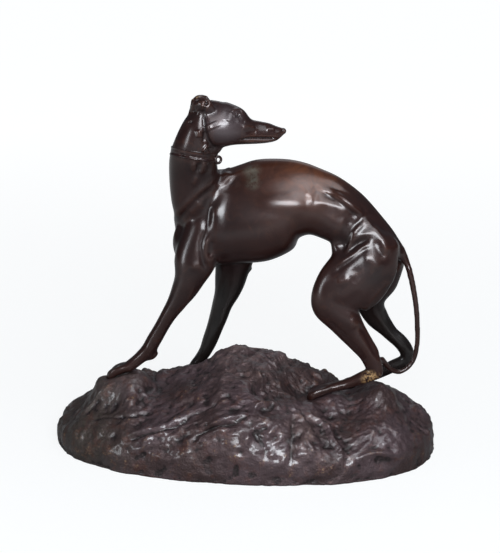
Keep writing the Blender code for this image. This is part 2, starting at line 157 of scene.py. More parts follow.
def soft_lamp(name, turn, rise, reach, size, power):
    """A wide lamp of the given width and height, aimed at the bronze."""
    bpy.ops.object.light_add(type="AREA", location=seen_from(math.radians(turn), math.radians(rise), reach))
    lamp = bpy.context.object
    lamp.name = name
    lamp.rotation_euler = (AIM - lamp.location).to_track_quat("-Z", "Y").to_euler()
    lamp.data.shape = "RECTANGLE"
    lamp.data.size, lamp.data.size_y = size
    lamp.data.energy = power
    lamp.data.color = (0.90, 0.95, 1.0)
    return lamp


soft_lamp("key_lamp", 13, 22, 1.5, (0.78, 0.40), 17.5)
soft_lamp("upper_lamp", 16, 44, 1.5, (0.7, 0.5), 2.4)
soft_lamp("right_lamp", 46, 46, 1.4, (0.8, 0.8), 5.2)
soft_lamp("left_lamp", -46, 8, 1.3, (0.16, 0.36), 2.2)
soft_lamp("back_lamp", 175, 42, 1.6, (0.9, 0.9), 1.6)

bpy.ops.mesh.primitive_plane_add(size=12)
floor = bpy.context.object
floor.name = "table_top"
white = bpy.data.materials.new("glowing_white_table")
white.use_nodes = True
table = white.node_tree.nodes["Principled BSDF"]
table.inputs["Base Color"].default_value = (0.16, 0.165, 0.167, 1)
table.inputs["Roughness"].default_value = 0.8
table.inputs["Specular IOR Level"].default_value = 0.1
table.inputs["Emission Strength"].default_value = 1
# The table glows, though it is no lamp. To the eye it is white, with a painted shade that dims it towards the
# bronze. What the bronze mirrors of it, and the light it throws, is a painted glow that brightens outwards.
spot = output(white.node_tree.nodes.new("ShaderNodeTexCoord"), "Object")
reach = output(spot.node("ShaderNodeVectorMath", {"operation": "LENGTH"}, i0=spot), "Value")
mirrored_glow = reach.node("ShaderNodeMapRange", None, Value=reach, From_Min=0.3, From_Max=0.95,
                           To_Min=0.06, To_Max=0.36)
seen_glow = reach.node("ShaderNodeMapRange", None, Value=reach, From_Min=0.15, From_Max=1.6,
                       To_Min=0.86, To_Max=0.98)
seen = output(reach.node("ShaderNodeLightPath"), "Is Camera Ray")
glow = blend_colour(seen, output(mirrored_glow), output(seen_glow))
tint = glow.node("ShaderNodeMix", {"data_type": "RGBA", "blend_type": "MULTIPLY"}, i0=1.0, i6=glow,
                 i7=(0.985, 0.995, 1, 1))
feed(table, "Emission Color", output(tint, 2))
floor.data.materials.append(white)

# The hound's body
# Cast bronze with a waxed dark brown patina, redder along the back. The body, legs,
# paws and tail are one casting, modelled here from overlapping skins that are fused,
# softened and then carved along the lines of the muscles.
DOG_HEIGHT = 0.263
UNIT = DOG_HEIGHT / 263
STAND = 0.055002
BODY_VOXEL = 0.00096
TAIL_THICKNESS = 4.8
SOFTENING_ROUNDS = 60
BODY_RUBBING = 11
FACES_KEPT = 0.72

# Each station of a limb is x, y, z, half its thickness in the side view, half its width,
# in 263rds of the hound's height, about a millimetre each.
TORSO = [(-43, 0, 148, 29, 19), (-26, 0, 150, 41.5, 28), (-8, 0, 152.6, 42.2, 29.5),
         (9, 0, 156, 44, 30), (26, 0, 163.3, 42.6, 29), (39, 0, 168.2, 36.6, 26.8),
         (50, 0, 168.3, 33, 24.5), (61, 0, 167, 29.4, 22.5), (69, 0, 164.3, 28.2, 21),
         (79, 0, 159.2, 26.8, 20.5), (91, 0, 151.8, 24.5, 21), (106, 0, 141.4, 20, 20),
         (122, 0, 130.4, 14.5, 16), (133, 0, 124.5, 7.5, 9)]
NECK = [(-30, -2, 150, 27, 21), (-36, -5, 162, 26, 20), (-40.2, -9, 173, 23.3, 18.5),
        (-42.3, -13, 191.5, 21.4, 17.5), (-41.7, -17, 206, 20.6, 17),
        (-39, -20, 219, 18.2, 16), (-35, -21, 232, 15.8, 14.5), (-31.3, -21, 242, 13, 12)]
NEAR_FORELEG = [(-30, -17, 146, 19, 11), (-40.5, -22, 117, 18.6, 11.5),
                (-45.4, -24, 100.5, 13.5, 10), (-50.6, -25, 89.5, 11.2, 8.5),
                (-57, -25.5, 78.4, 8.7, 7.3), (-64.2, -26, 67.2, 7, 6.4),
                (-70.6, -26, 55.9, 6.6, 6.2), (-77, -26, 44.6, 6.8, 6.4),
                (-82.5, -26, 35.1, 6.6, 6.4), (-90.7, -26, 26.8, 5.6, 6.4),
                (-100, -27, 19, 5.2, 7)]
FAR_FORELEG = [(-12.2, 17, 112, 19.5, 10), (-14.2, 23, 97.8, 15.8, 10), (-17, 26, 84.4, 14, 9),
               (-20, 27, 73, 11.4, 8), (-23.8, 27, 63.4, 9.5, 7.2), (-27.5, 27, 51, 8.5, 6.6),
               (-31.4, 27, 39.4, 7.6, 6.4), (-35.3, 27, 28.7, 7.2, 6.4), (-39, 27, 19.5, 6.2, 6.4),
               (-44, 28, 11, 5.6, 6.6), (-49.5, 28, 3.5, 5.4, 7.2)]
NEAR_HIND_LEG = [(118, -11, 136, 19, 10.5), (110, -14, 121, 26.5, 12.8), (98, -17.5, 104, 29, 14),
                 (87, -20.5, 91.5, 26.6, 12.5), (81.5, -22.5, 80, 21, 10.5),
                 (88.6, -24, 70.5, 16, 9.5), (96.6, -24.5, 58.6, 12.6, 8),
                 (105, -25, 47.6, 10.2, 6.8), (111.4, -25, 38.9, 8.9, 5.8),
                 (115, -25, 30, 7.8, 5.4), (117.2, -25, 23, 7, 5.2),
                 (105.7, -25, 17, 5.8, 5), (93.7, -25, 11.4, 4.8, 4.6),
                 (82.4, -26, 8.2, 4.6, 5), (74, -27, 5.8, 4.8, 6.2)]
FAR_HIND_LEG = [(116, 12, 112, 23.5, 13), (113.5, 18, 90, 19.4, 11), (109.5, 22, 71, 13, 9),
                (116, 24, 57, 10.8, 7.5), (124.4, 25, 47, 8, 6.4), (130, 25, 41, 7, 6),
                (136, 25, 36, 7, 5.8), (141, 25, 30, 6.8, 5.6), (143.6, 25, 24, 6.6, 5.4),
                (142.5, 25, 17.4, 6.4, 5.2), (131, 25, 11.2, 6, 4.8), (117, 25.5, 3.4, 5.4, 4.6),
                (103, 26.5, -3.6, 4.6, 5.6)]
# The tail's stations end with its thickness as a share of TAIL_THICKNESS.
TAIL = [(128, 0, 128, 4.2), (138.6, 0, 119.3, 1.8), (143.3, -2, 109.2, 1.35),
        (147.8, -3, 91.7, 1.14), (150.8, -4, 74, 1.08), (152.2, -4, 55.8, 1.04),
        (152.2, -4, 42, 1), (150.1, -4, 29.9, 1), (145, -6, 22, 1), (137.6, -8, 18, 1),
        (130.3, -11, 21, 1.08), (125.9, -15, 27, 1.12), (122.5, -20, 33, 1.12)]
# The trunk is wider low down than along the spine.
TORSO_EGG = -0.3
# A paw runs from the end of its leg to the tips of its toes.
PAWS = {"near_fore": ((-98, -27, 21), (-118.5, -27.5, 10.5)),
        "far_fore": ((-50, 28, 2), (-69.5, 28.5, -10)),
        "near_hind": ((77, -27, 7), (60, -31, 0)),
        "far_hind": ((101, 27, -5), (84, 29.5, -12))}
TOES = 4
PAW_WIDTH = 15

# The middle of the collar and the way that the neck runs through it.
COLLAR = np.array((-41.5, -16.5, 209.5))
NECK_WAY = np.array((0.14, 0.16, 1.0)) / np.linalg.norm((0.14, 0.16, 1.0))


def place(x, y, z):
    """A place on the hound in metres."""
    return Vector((x * UNIT, y * UNIT, STAND + z * UNIT))


def through(stations, steps):
    """Rows on a smooth curve through the stations, with this many between each pair."""
    keys = np.array(stations, dtype=float)
    keys = np.vstack([2 * keys[0] - keys[1], keys, 2 * keys[-1] - keys[-2]])
    rows = []
    for i in range(1, len(keys) - 2):
        a, b, c, d = keys[i - 1:i + 3]
        for t in np.arange(steps) / steps:
            rows.append(0.5 * (2 * b + (c - a) * t + (2 * a - 5 * b + 4 * c - d) * t ** 2
                               + (3 * b - a - 3 * c + d) * t ** 3))
    rows.append(keys[-2])
    return np.array(rows)


def loft(bm, stations, egg=0.0, steps=8, sides=36):
    """Add a closed skin through the stations, with rounded ends.

    Egg makes the section wider at its top above 0, and at its bottom below 0.
    """
    rows = through(stations, steps)
    last = len(rows) - 1
    ahead = rows[np.minimum(np.arange(last + 1) + steps, last), :3]
    behind = rows[np.maximum(np.arange(last + 1) - steps, 0), :3]
    tangents = ahead - behind
    tangents /= np.linalg.norm(tangents, axis=1)[:, None]
    for end, way in ((0, -1), (-1, 1)):
        radius = min(rows[end, 3], rows[end, 4])
        caps = []
        for turn in (0.4, 0.8, 1.2, 1.45):
            cap = rows[end].copy()
            cap[:3] += tangents[end] * way * radius * math.sin(turn)
            cap[3:5] *= math.cos(turn)
            caps.append(cap)
        ends = np.repeat(tangents[end][None, :], len(caps), axis=0)
        if way < 0:
            rows = np.vstack([caps[::-1], rows])
            tangents = np.vstack([ends, tangents])
        else:
            rows = np.vstack([rows, caps])
            tangents = np.vstack([tangents, ends])
    rings = []
    for row, tangent in zip(rows, tangents):
        along = Vector(tangent)
        across = Vector((0, 1, 0))
        across = (across - along * across.dot(along)).normalized()
        up = along.cross(across)
        ring = []
        for i in range(sides):
            angle = math.tau * i / sides
            height = row[3] * math.cos(angle)
            width = row[4] * math.sin(angle) * (1 + egg * math.cos(angle))
            ring.append(bm.verts.new(Vector(row[:3]) + up * height + across * width))
        rings.append(ring)
    for ring, following in zip(rings, rings[1:]):
        for i in range(sides):
            j = (i + 1) % sides
            bm.faces.new((ring[i], ring[j], following[j], following[i]))
    bm.faces.new(rings[0][::-1])
    bm.faces.new(rings[-1])


def muscle(bm, start, end, thickness, width):
    """Add a spindle that swells between two places."""
    start = np.array(start, dtype=float)
    end = np.array(end, dtype=float)
    stations = []
    for share, swell in ((0.05, 0.45), (0.3, 0.9), (0.5, 1), (0.7, 0.9), (0.95, 0.45)):
        spot = start + (end - start) * share
        stations.append((*spot, thickness * swell, width * swell))
    loft(bm, stations)


def paw(bm, heel, tip):
    """Add a paw: a pad and four arched toes with their nails."""
    heel = np.array(heel, dtype=float)
    tip = np.array(tip, dtype=float)
    loft(bm, [(*heel, 4.6, 6), (*(heel * 0.5 + tip * 0.5 - (0, 0, 1)), 3.6, 6.2)])
    for toe in range(TOES):
        across = (toe / (TOES - 1) - 0.5) * 2
        reach = 1 - 0.16 * abs(across)
        side = np.array((0, across * PAW_WIDTH * 0.36, 0))
        root = heel + side * 0.8
        knuckle = heel + (tip - heel) * 0.6 * reach + side * 1.05 + (0, 0, 1.7)
        last = heel + (tip - heel) * 0.92 * reach + side + (0, 0, 0.8)
        nail = heel + (tip - heel) * 1.05 * reach + side - (0, 0, 1.8)
        loft(bm, [(*root, 2.6, 2.2), (*knuckle, 3.9, 2.3), (*last, 4, 2.3), (*nail, 2.2, 1.6)],
             sides=16)


def body_skins(bm):
    """Add the overlapping skins of the body, limbs and tail."""
    loft(bm, TORSO, egg=TORSO_EGG)
    loft(bm, NECK)
    for leg in (NEAR_FORELEG, FAR_FORELEG, NEAR_HIND_LEG, FAR_HIND_LEG):
        loft(bm, leg)
    for heel, tip in PAWS.values():
        paw(bm, heel, tip)
    half = TAIL_THICKNESS / 2
    loft(bm, [(x, y, z, half * share, half * share) for x, y, z, share in TAIL], sides=20)
    for side in (-1, 1):
        # Shoulder blade, upper arm and the breast in front of it
        muscle(bm, (-12, side * 9, 192), (-42, side * 20, 140), 13, 9)
        muscle(bm, (-46, side * 18, 140), (-24, side * 23, 118), 14, 7)
        muscle(bm, (-51, side * 9, 151), (-50.5, side * 15, 110), 11, 9)
        # The swell of the ribs
        muscle(bm, (-8, side * 16, 163), (72, side * 12.4, 165), 20, 14.5)
        # Loin, hip and buttock, and the fold of skin from the flank to the thigh
        muscle(bm, (70, side * 9, 178), (104, side * 12, 158), 9, 9)
        muscle(bm, (98, side * 13, 155), (129, side * 11, 116), 12, 9.5)
        muscle(bm, (79, side * 12, 149), (86, side * 14.5, 108), 6, 6.4)
    # The heels of the hocks
    muscle(bm, (116, -25, 36), (122, -25, 19), 4.6, 4.6)
    muscle(bm, (143, 25, 33), (148, 25, 15), 4.6, 4.4)
    # The pads behind the wrists
    muscle(bm, (-73, -26, 33), (-82.5, -26, 25.5), 2.4, 3.6)
    muscle(bm, (-31, 27, 30), (-34, 27, 21), 2.6, 3.6)
    # The point of each elbow
    muscle(bm, (-30, -24, 124), (-24, -25, 112), 5, 5)
    muscle(bm, (-8, 22, 106), (3, 23, 98), 6, 5)


def bronze_object(name, bm):
    """A named object from a bmesh of the hound's units, set in its place."""
    for vert in bm.verts:
        vert.co = place(*vert.co)
    bmesh.ops.recalc_face_normals(bm, faces=bm.faces)
    mesh = bpy.data.meshes.new(name)
    bm.to_mesh(mesh)
    bm.free()
    thing = bpy.data.objects.new(name, mesh)
    bpy.context.scene.collection.objects.link(thing)
    return thing


def apply_all(thing):
    """Apply the object's modifiers in turn."""
    bpy.ops.object.select_all(action="DESELECT")
    bpy.context.view_layer.objects.active = thing
    thing.select_set(True)
    for modifier in list(thing.modifiers):
        bpy.ops.object.modifier_apply(modifier=modifier.name)


def read(mesh):
    """The mesh's vertices in the hound's units and their normals, as arrays."""
    spots = np.empty(len(mesh.vertices) * 3)
    mesh.vertices.foreach_get("co", spots)
    normals = np.empty(len(mesh.vertices) * 3)
    mesh.vertex_normals.foreach_get("vector", normals)
    spots = (spots.reshape(-1, 3) - (0, 0, STAND)) / UNIT
    return spots, normals.reshape(-1, 3)


def write(mesh, spots):
    """Put the vertices, given in the hound's units, back into the mesh."""
    mesh.vertices.foreach_set("co", (spots * UNIT + (0, 0, STAND)).ravel())
    mesh.update()


def girth(spots, limbs):
    """For each vertex, the half thickness of the limb that it is on, in units."""
    rows = [through(limb, 3)[:, :5] for limb in limbs]
    rows.append(np.array([(x, y, z, 2.4, 2.4) for x, y, z, share in through(TAIL, 3)]))
    for heel, tip in PAWS.values():
        rows.append(np.array([(*tip, 2.4, 2.4), (*heel, 4, 4)]))
    best = np.full(len(spots), np.inf)
    result = np.zeros(len(spots))
    for x, y, z, thick, wide in np.vstack(rows):
        gap = np.linalg.norm(spots - (x, y, z), axis=1) / max(thick, wide)
        closer = gap < best
        best[closer] = gap[closer]
        result[closer] = min(thick, wide)
    return result


def fuse(thing, voxel, limbs):
    """Fuse the skins into one and soften the creases, less where a limb is thin."""
    skin = thing.modifiers.new("fuse", "REMESH")
    skin.mode = "VOXEL"
    skin.voxel_size = voxel
    apply_all(thing)
    spots, normals = read(thing.data)
    softness = np.clip((girth(spots, limbs) - 2) / 9, 0.05, 1)
    group = thing.vertex_groups.new(name="softness")
    for level in range(1, 11):
        chosen = np.nonzero(np.abs(softness - level / 10) <= 0.05001)[0]
        group.add(chosen.tolist(), level / 10, "REPLACE")
    soften = thing.modifiers.new("soften", "SMOOTH")
    soften.factor = 0.5
    soften.iterations = SOFTENING_ROUNDS
    soften.vertex_group = group.name
    apply_all(thing)
    thing.vertex_groups.clear()


def cut_off(thing, spot, way, floor=-60, front=60):
    """Cut away what lies beyond a plane, on the side that the way points to, and close it.

    Only what is above the floor and forward of the front, in the hound's units, is cut.
    """
    bm = bmesh.new()
    bm.from_mesh(thing.data)
    limit = place(front, 0, floor)
    chosen = {vert for vert in bm.verts if vert.co.z > limit.z and vert.co.x < limit.x}
    geometry = list(chosen)
    geometry += [edge for edge in bm.edges if chosen.issuperset(edge.verts)]
    geometry += [face for face in bm.faces if chosen.issuperset(face.verts)]
    cut = bmesh.ops.bisect_plane(bm, geom=geometry, plane_co=place(*spot), plane_no=Vector(way),
                                 clear_outer=True)
    edges = [piece for piece in cut["geom_cut"] if isinstance(piece, bmesh.types.BMEdge)]
    bmesh.ops.triangle_fill(bm, use_beauty=True, use_dissolve=False, edges=edges)
    bm.to_mesh(thing.data)
    bm.free()


def draw(spots, normals, line, width, lift, step=False):
    """Raise the surface along a line, or cut it if lift is below 0.

    The line fades at both its ends. A step raises the surface on the line's left and
    lowers it on its right.
    """
    # The points of the line are first moved onto the surface
    pinned = [spots[np.argmin(np.sum((spots - point) ** 2, axis=1))] for point in line]
    rows = through(pinned, 5)
    room = width * (6 if step else 3)
    near = np.all((spots > rows.min(0) - room) & (spots < rows.max(0) + room), axis=1)
    chosen = np.nonzero(near)[0]
    if not len(chosen):
        return
    points = spots[chosen]
    facing = normals[chosen]
    best = np.full(len(points), np.inf)
    share = np.zeros(len(points))
    leaning = np.zeros(len(points))
    count = len(rows) - 1
    for i in range(count):
        run = rows[i + 1] - rows[i]
        t = np.clip((points - rows[i]) @ run / (run @ run), 0, 1)
        away = points - rows[i] - t[:, None] * run
        gap = np.linalg.norm(away, axis=1)
        closer = gap < best
        best[closer] = gap[closer]
        share[closer] = (i + t[closer]) / count
        if step:
            left = np.cross(facing[closer], run / np.linalg.norm(run))
            leaning[closer] = np.sum(left * away[closer], axis=1)
    fade = np.clip(np.minimum(share, 1 - share) / 0.18, 0, 1)
    fade = 0.25 + 0.75 * fade * fade * (3 - 2 * fade)
    if step:
        amount = lift * np.tanh(leaning / width) * np.exp(-(best / (3 * width)) ** 2)
    else:
        amount = lift * np.exp(-(best / width) ** 2)
    spots[chosen] += facing * (amount * fade)[:, None]


# The carving, in the same units: the points of a line, its width and its lift. A line
# marked True is a step, raised on one side and lowered on the other. These lines are on
# both flanks.
BOTH_FLANKS = [
    # The ridge over the shoulder blade, the hollow under it, and the neck's fold before it
    ([(14.6, -10.4, 197), (7.6, -9.7, 196.7), (-0.6, -9.4, 194.6), (-8.9, -11.8, 191),
      (-14.8, -22, 188.2), (-22.9, -25.9, 181.6)], 2.2, 0.8),
    ([(12.5, -14.5, 192.2), (3.9, -14.1, 190.1), (-4.7, -14.4, 186.5), (-10.2, -18.4, 182)], 5.2, -0.9),
    ([(-17.1, -17.6, 192.9), (-25, -23, 187.8), (-31.4, -25.9, 183.1), (-36.5, -26.5, 178.3),
      (-43.6, -25.8, 170.5), (-51.2, -22.2, 162.5), (-59.1, -7.3, 151.6),
      (-60.4, -6.5, 145.1)], 2.6, 0.8),
    ([(-22.1, -25.6, 182), (-30.5, -26.4, 177.1), (-37.5, -26.3, 172.1), (-44.8, -24.3, 164.5),
      (-50.9, -19.5, 157), (-55.1, -13.1, 149.1)], 2.4, -1.1),
    # The muscle behind the upper arm, its rear edge, and the arm's own swell
    ([(-13.9, -22.3, 181.9), (-17, -25.1, 173.7), (-21.1, -27, 165.3),
      (-26.2, -27.6, 155.7)], 4.8, 0.9),
    ([(-22.9, -28, 127.7), (-20.9, -29.4, 137), (-17.9, -29.1, 147.6), (-17, -26, 159.1),
      (-15.1, -24, 167.4)], 3.6, 0.4, True),
    ([(-27, -27, 177.4), (-27.6, -29.3, 167.4), (-29.4, -29.1, 156.9), (-32.3, -28.2, 145.2)], 3.2, -1),
    ([(-36.6, -26.4, 171.7), (-40.2, -25.7, 165.3), (-44.1, -23.7, 158.6)], 5.3, 0.9),
    ([(-43, -33.6, 114.4), (-33.6, -32.3, 115.2)], 3.4, 0.7),
    # The creases over the elbow
    ([(-29.7, -27.9, 146.9), (-33, -29.7, 136.7), (-33.3, -30.9, 127.3), (-31.6, -31.1, 118.5),
      (-29.2, -30.2, 112.1)], 2.2, -1.3),
    ([(-27.3, -27.3, 139.8), (-30.2, -28.7, 130.3), (-29.3, -29.2, 121.6),
      (-24.9, -27, 114)], 2.2, 0.8),
    ([(-24, -28.8, 137.6), (-26, -28.9, 130.5), (-26.8, -29.3, 123.5)], 2.2, -0.9),
    ([(-26.3, -29, 122.6), (-23.1, -27.3, 119.5)], 2.5, 0.8),
    # The rear edge of the ribs and the muscle of the flank
    ([(55.2, -18.9, 181.3), (59.6, -20.1, 176), (58.6, -22.3, 169.6)], 2.2, 0.5),
    ([(61.6, -15.1, 185), (64, -17.3, 179.4), (62.6, -20.1, 173.5)], 2.5, -0.5),
    ([(61.9, -21.4, 169.9), (70.2, -19.4, 171), (77, -18.7, 168.8), (83, -19.4, 164.4),
      (86.1, -20.3, 158.2)], 4.4, 0.9),
    # The valley and the ridge of the loin
    ([(66.5, -16.4, 179.7), (75, -16.5, 175.2), (81.9, -17.8, 171.8), (88, -18.7, 167.8),
      (94, -17.9, 162.6), (100.6, -14.8, 159)], 2.4, -1.3),
    ([(72.3, -14.8, 180.8), (81.7, -15.7, 177.6), (90.4, -18.4, 172.3), (97.6, -17.9, 166.5),
      (103.5, -13.4, 160.9)], 2.9, 1),
    ([(69.4, -11.7, 185.7), (78.8, -11.7, 182.5), (88.4, -14.9, 177), (98, -15.9, 168.8),
      (105.6, -12.8, 160.4)], 2.2, -0.6),
    ([(84.6, -8.5, 182.4), (93.2, -8.8, 176.6), (101.9, -9.6, 168.3), (110.6, -10.4, 158.5)], 2.2, 0.5),
    # The hollow of the flank and the crease before the thigh
    ([(94.9, -17.9, 158.7), (90.9, -20.7, 151.4), (86.9, -20.9, 142.6),
      (83.5, -19.8, 134.3)], 4.1, -1.4),
    ([(104, -14.5, 157.7), (96.8, -18.3, 150.6), (92.3, -19.8, 142.1), (88.9, -19.3, 131.7),
      (87.6, -22.4, 127.2)], 2.2, -1.3),
    ([(104.6, -15.8, 154.6), (97.7, -19.6, 147.9), (93.7, -20, 140), (90.7, -20.8, 131.3)], 2.2, 0.8),
    # The hip bone and the streak behind it
    ([(102.5, -16.5, 153.8), (106.3, -15.5, 155), (110.6, -16.6, 152.3)], 2.8, 1),
    ([(110.6, -16.6, 152.3), (115.5, -18, 147.1), (119.4, -19.3, 141.5), (123.5, -20.2, 133.1),
      (126.1, -19.6, 129.5)], 2.9, 1),
    ([(117.6, -10.1, 150.5), (124.3, -14.5, 142.1), (129.4, -17.9, 132.6)], 3.4, -0.5),
    # The folds at the top of the thigh
    ([(108.9, -21, 145.5), (100.8, -20.6, 143), (95, -20.6, 137.5), (90.1, -22.1, 129.4)], 2.2, 0.8),
    ([(109.9, -23.1, 141.7), (103.1, -22, 138.6), (96.5, -22.9, 133.8),
      (89.9, -24.9, 126.2)], 2.2, -0.9),
    ([(110.5, -22.7, 137.8), (104.7, -24.3, 134.4), (97.6, -26.3, 128.6), (89.3, -27.2, 123.3),
      (82.2, -28.3, 117.2)], 2.2, 0.8),
    ([(109.2, -23.7, 134.4), (100.1, -26.1, 128.6), (89.4, -28.6, 120.1),
      (80.2, -28.8, 111.9)], 2.2, -0.9),
    ([(114.5, -21.7, 140.2), (117.3, -23.1, 131.9), (122.9, -22, 123.9)], 3.2, -0.8),
]
# These are on the near side alone.
NEAR_SIDE = [
    # The swells of the thigh, and the soft line under them
    ([(105.3, -26.4, 125.3), (112.1, -26.1, 123.7), (119.9, -25.1, 114.9)], 5.1, 0.9),
    ([(81.3, -30.7, 105.4), (88.2, -31.6, 105.1), (94, -30.8, 109.4)], 4.1, 0.8),
    ([(96.3, -29, 117), (100.7, -30.3, 110.4), (95.9, -31.7, 103.6)], 4.1, -0.5),
    ([(76.9, -29.4, 106.7), (76, -31.6, 94), (84.3, -32.7, 85.7), (96.1, -32, 89.5),
      (104.4, -30.9, 99.2)], 4.6, -0.5),
    ([(139.6, -4.8, 118.8), (134.5, 5, 107.9), (126, -21.8, 102.2), (114.6, -26.8, 91.3),
      (106.3, -26.6, 80.2)], 2.2, 0.6),
    # The shin, and the tendon behind it
    ([(96.4, -31.8, 73.4), (100, -31.5, 64.4)], 4.6, 0.8),
    ([(74.6, -31.4, 72.4), (90.3, -31.4, 56.8), (105.1, -30.4, 40.8), (108.3, -28.7, 31.2)], 2.3, -0.7),
    ([(105.7, -26.1, 67.4), (112.3, -25.3, 54.3), (118, -24.8, 44.7), (123.7, -19.1, 33.1)], 2, 0.6),
    ([(102.4, -29.9, 66.7), (108.6, -29.1, 56.8), (114, -28.9, 46.2), (118.2, -28.1, 38)], 2, -1),
    ([(118.5, -28.5, 36.1), (122.4, -25.4, 29.7)], 1.9, 0.7),
    # The bone of the hind foot, and the mark where it is brazed
    ([(71.9, -34.8, 7.9), (87.1, -30.1, 9.6), (97.4, -29.5, 14), (106, -29.5, 19)], 1.9, 0.6),
    ([(110.4, -29.6, 16.9), (116.3, -29.4, 19), (122.3, -27.9, 21.4)], 1.9, 0.5),
    # The forearm's edge and the wrist
    ([(-32.2, -31, 106.9), (-37.6, -30.6, 94.9), (-47.3, -26.1, 76.9), (-60.8, -28.8, 61.5),
      (-69.1, -28.8, 47.1)], 2.5, -0.5),
    ([(-40.1, -31.4, 93.3), (-50.6, -27.5, 73.6), (-63.7, -28.4, 56.1)], 2.3, 0.4),
    ([(-80.3, -32.1, 41.9), (-83.1, -32, 35.3)], 2.8, 0.5),
    # The edge down the far foreleg
    ([(-20.7, 13.6, 98.3), (-27.3, 21.1, 75.9), (-32.1, 22.1, 54.3), (-38.4, 23.5, 36.9)], 1.9, 0.6),
    ([(-17.5, 12.9, 97.7), (-22.9, 19.2, 76.7), (-27.8, 20.4, 54.9), (-33.4, 20.8, 38)], 2.5, -0.6),
    # The far shank's edge
    ([(114.3, 14.8, 64.9), (123.4, 18.4, 50.2), (133.4, 19.4, 37.2), (141.7, 19.7, 28)], 1.9, 0.6),
    # The neck's cords below the collar
    ([(-38.6, -34.6, 205.4), (-39, -33.2, 197.4)], 1.9, 1.4),
    ([(-29.3, -31.7, 205.9), (-31.1, -32.6, 200.9), (-33.2, -30.6, 195.3)], 1.9, 1.8),
    ([(-33.9, -34.3, 205.4), (-35.5, -32.9, 196.6)], 2, -1.8),
    ([(-36.5, -31.5, 192.8), (-39.9, -29.3, 185.3)], 1.9, 1.2),
    ([(-25.7, -28.4, 204.4), (-27.9, -26.1, 196.2)], 2.1, -1.4),
]


def mirrored(line):
    """The same line on the other flank, run the other way so that its left stays its left."""
    return [(x, -y, z) for x, y, z in reversed(line)]


def keep_grain(mesh, scale):
    """Store how far each vertex stands out of the surface round it, from -1 to 1."""
    spots, normals = read(mesh)
    ends = np.empty(len(mesh.edges) * 2, dtype=int)
    mesh.edges.foreach_get("vertices", ends)
    ends = ends.reshape(-1, 2)
    count = len(spots)
    degree = np.bincount(ends.ravel(), minlength=count).astype(float)
    smooth = spots.copy()
    for turn in range(14):
        total = np.zeros_like(smooth)
        for axis in range(3):
            total[:, axis] = (np.bincount(ends[:, 0], smooth[ends[:, 1], axis], count)
                              + np.bincount(ends[:, 1], smooth[ends[:, 0], axis], count))
        smooth = total / degree[:, None]
    proud = np.clip(np.sum((spots - smooth) * normals, axis=1), -1, 1)
    layer = mesh.attributes.new("grain", "FLOAT", "POINT")
    layer.data.foreach_set("value", np.clip(proud * scale, -1, 1).astype(np.float32))


def rub_down(thing, rounds):
    """Soften the carving, as the wax was smoothed before it was cast."""
    rub = thing.modifiers.new("rub_down", "SMOOTH")
    rub.factor = 0.5
    rub.iterations = rounds
    apply_all(thing)


def toe_gap(heel, tip, gap):
    """The line of a gap between two toes, over the top of the paw."""
    side = ((gap + 0.5) / (TOES - 1) - 0.5) * 2 * PAW_WIDTH * 0.38
    heel = np.array(heel, dtype=float)
    tip = np.array(tip, dtype=float)
    return [heel + (tip - heel) * share + (0, side, rise)
            for share, rise in ((0.5, 6), (0.8, 6), (1.05, 3))]


BODY_LIMBS = [TORSO, NECK, NEAR_FORELEG, FAR_FORELEG, NEAR_HIND_LEG, FAR_HIND_LEG]
skins = bmesh.new()
body_skins(skins)
body = bronze_object("hound_body", skins)
fuse(body, BODY_VOXEL, BODY_LIMBS)
cut_off(body, COLLAR, NECK_WAY, floor=198, front=-8)
spots, normals = read(body.data)
for line, *stroke in BOTH_FLANKS:
    draw(spots, normals, line, *stroke)
    draw(spots, normals, mirrored(line), *stroke)
for line, width, lift in NEAR_SIDE:
    draw(spots, normals, line, width, lift)
for heel, tip in PAWS.values():
    for gap in range(TOES - 1):
        draw(spots, normals, toe_gap(heel, tip, gap), 1.5, -1.5)
write(body.data, spots)
rub_down(body, BODY_RUBBING)
# The plain stretches need fewer faces than the carving
thinner = body.modifiers.new("thinner", "DECIMATE")
thinner.ratio = FACES_KEPT
apply_all(body)
keep_grain(body.data, 1.2)
body.data.shade_smooth()


def start_material(name):
    """A new material with its shader, the place on the piece and the grain of its surface."""
    material = bpy.data.materials.new(name)
    material.use_nodes = True
    shader = material.node_tree.nodes["Principled BSDF"]
    spot = output(material.node_tree.nodes.new("ShaderNodeTexCoord"), "Object")
    grain = output(spot.node("ShaderNodeAttribute", {"attribute_name": "grain"}), "Fac")
    return material, shader, spot, grain


def speckle(spot, scale, detail=3.0, roughness=0.5, distortion=0.0):
    """A noise value over the piece."""
    made = spot.node("ShaderNodeTexNoise", None, Vector=spot, Scale=scale, Detail=detail,
                     Roughness=roughness, Distortion=distortion)
    return output(made, "Fac")


def ramp(value, low, high):
    """A value that goes smoothly from 0 at low to 1 at high."""
    made = value.node("ShaderNodeMapRange", {"interpolation_type": "SMOOTHSTEP"}, Value=value,
                      From_Min=low, From_Max=high)
    return output(made)


def nearness(spot, centre, reach, softness=0.5):
    """1 at a place on the piece, falling to 0 at its reach."""
    made = spot.node("ShaderNodeVectorMath", {"operation": "DISTANCE"}, i0=spot, i1=tuple(centre))
    return ramp(output(made, "Value"), reach, reach * softness)


def bump(height, strength, distance):
    """A Bump node's normal."""
    made = height.node("ShaderNodeBump", None, Height=height, Strength=strength, Distance=distance)
    return output(made, "Normal")


def waxed(shader, roughness):
    """Give the shader the sheen of bronze under a thin coat of polished wax."""
    shader.inputs["Metallic"].default_value = 0.35
    shader.inputs["Specular IOR Level"].default_value = 0.15
    feed(shader, "Roughness", roughness)
    shader.inputs["Coat Weight"].default_value = 1.0
    shader.inputs["Coat Roughness"].default_value = 0.22


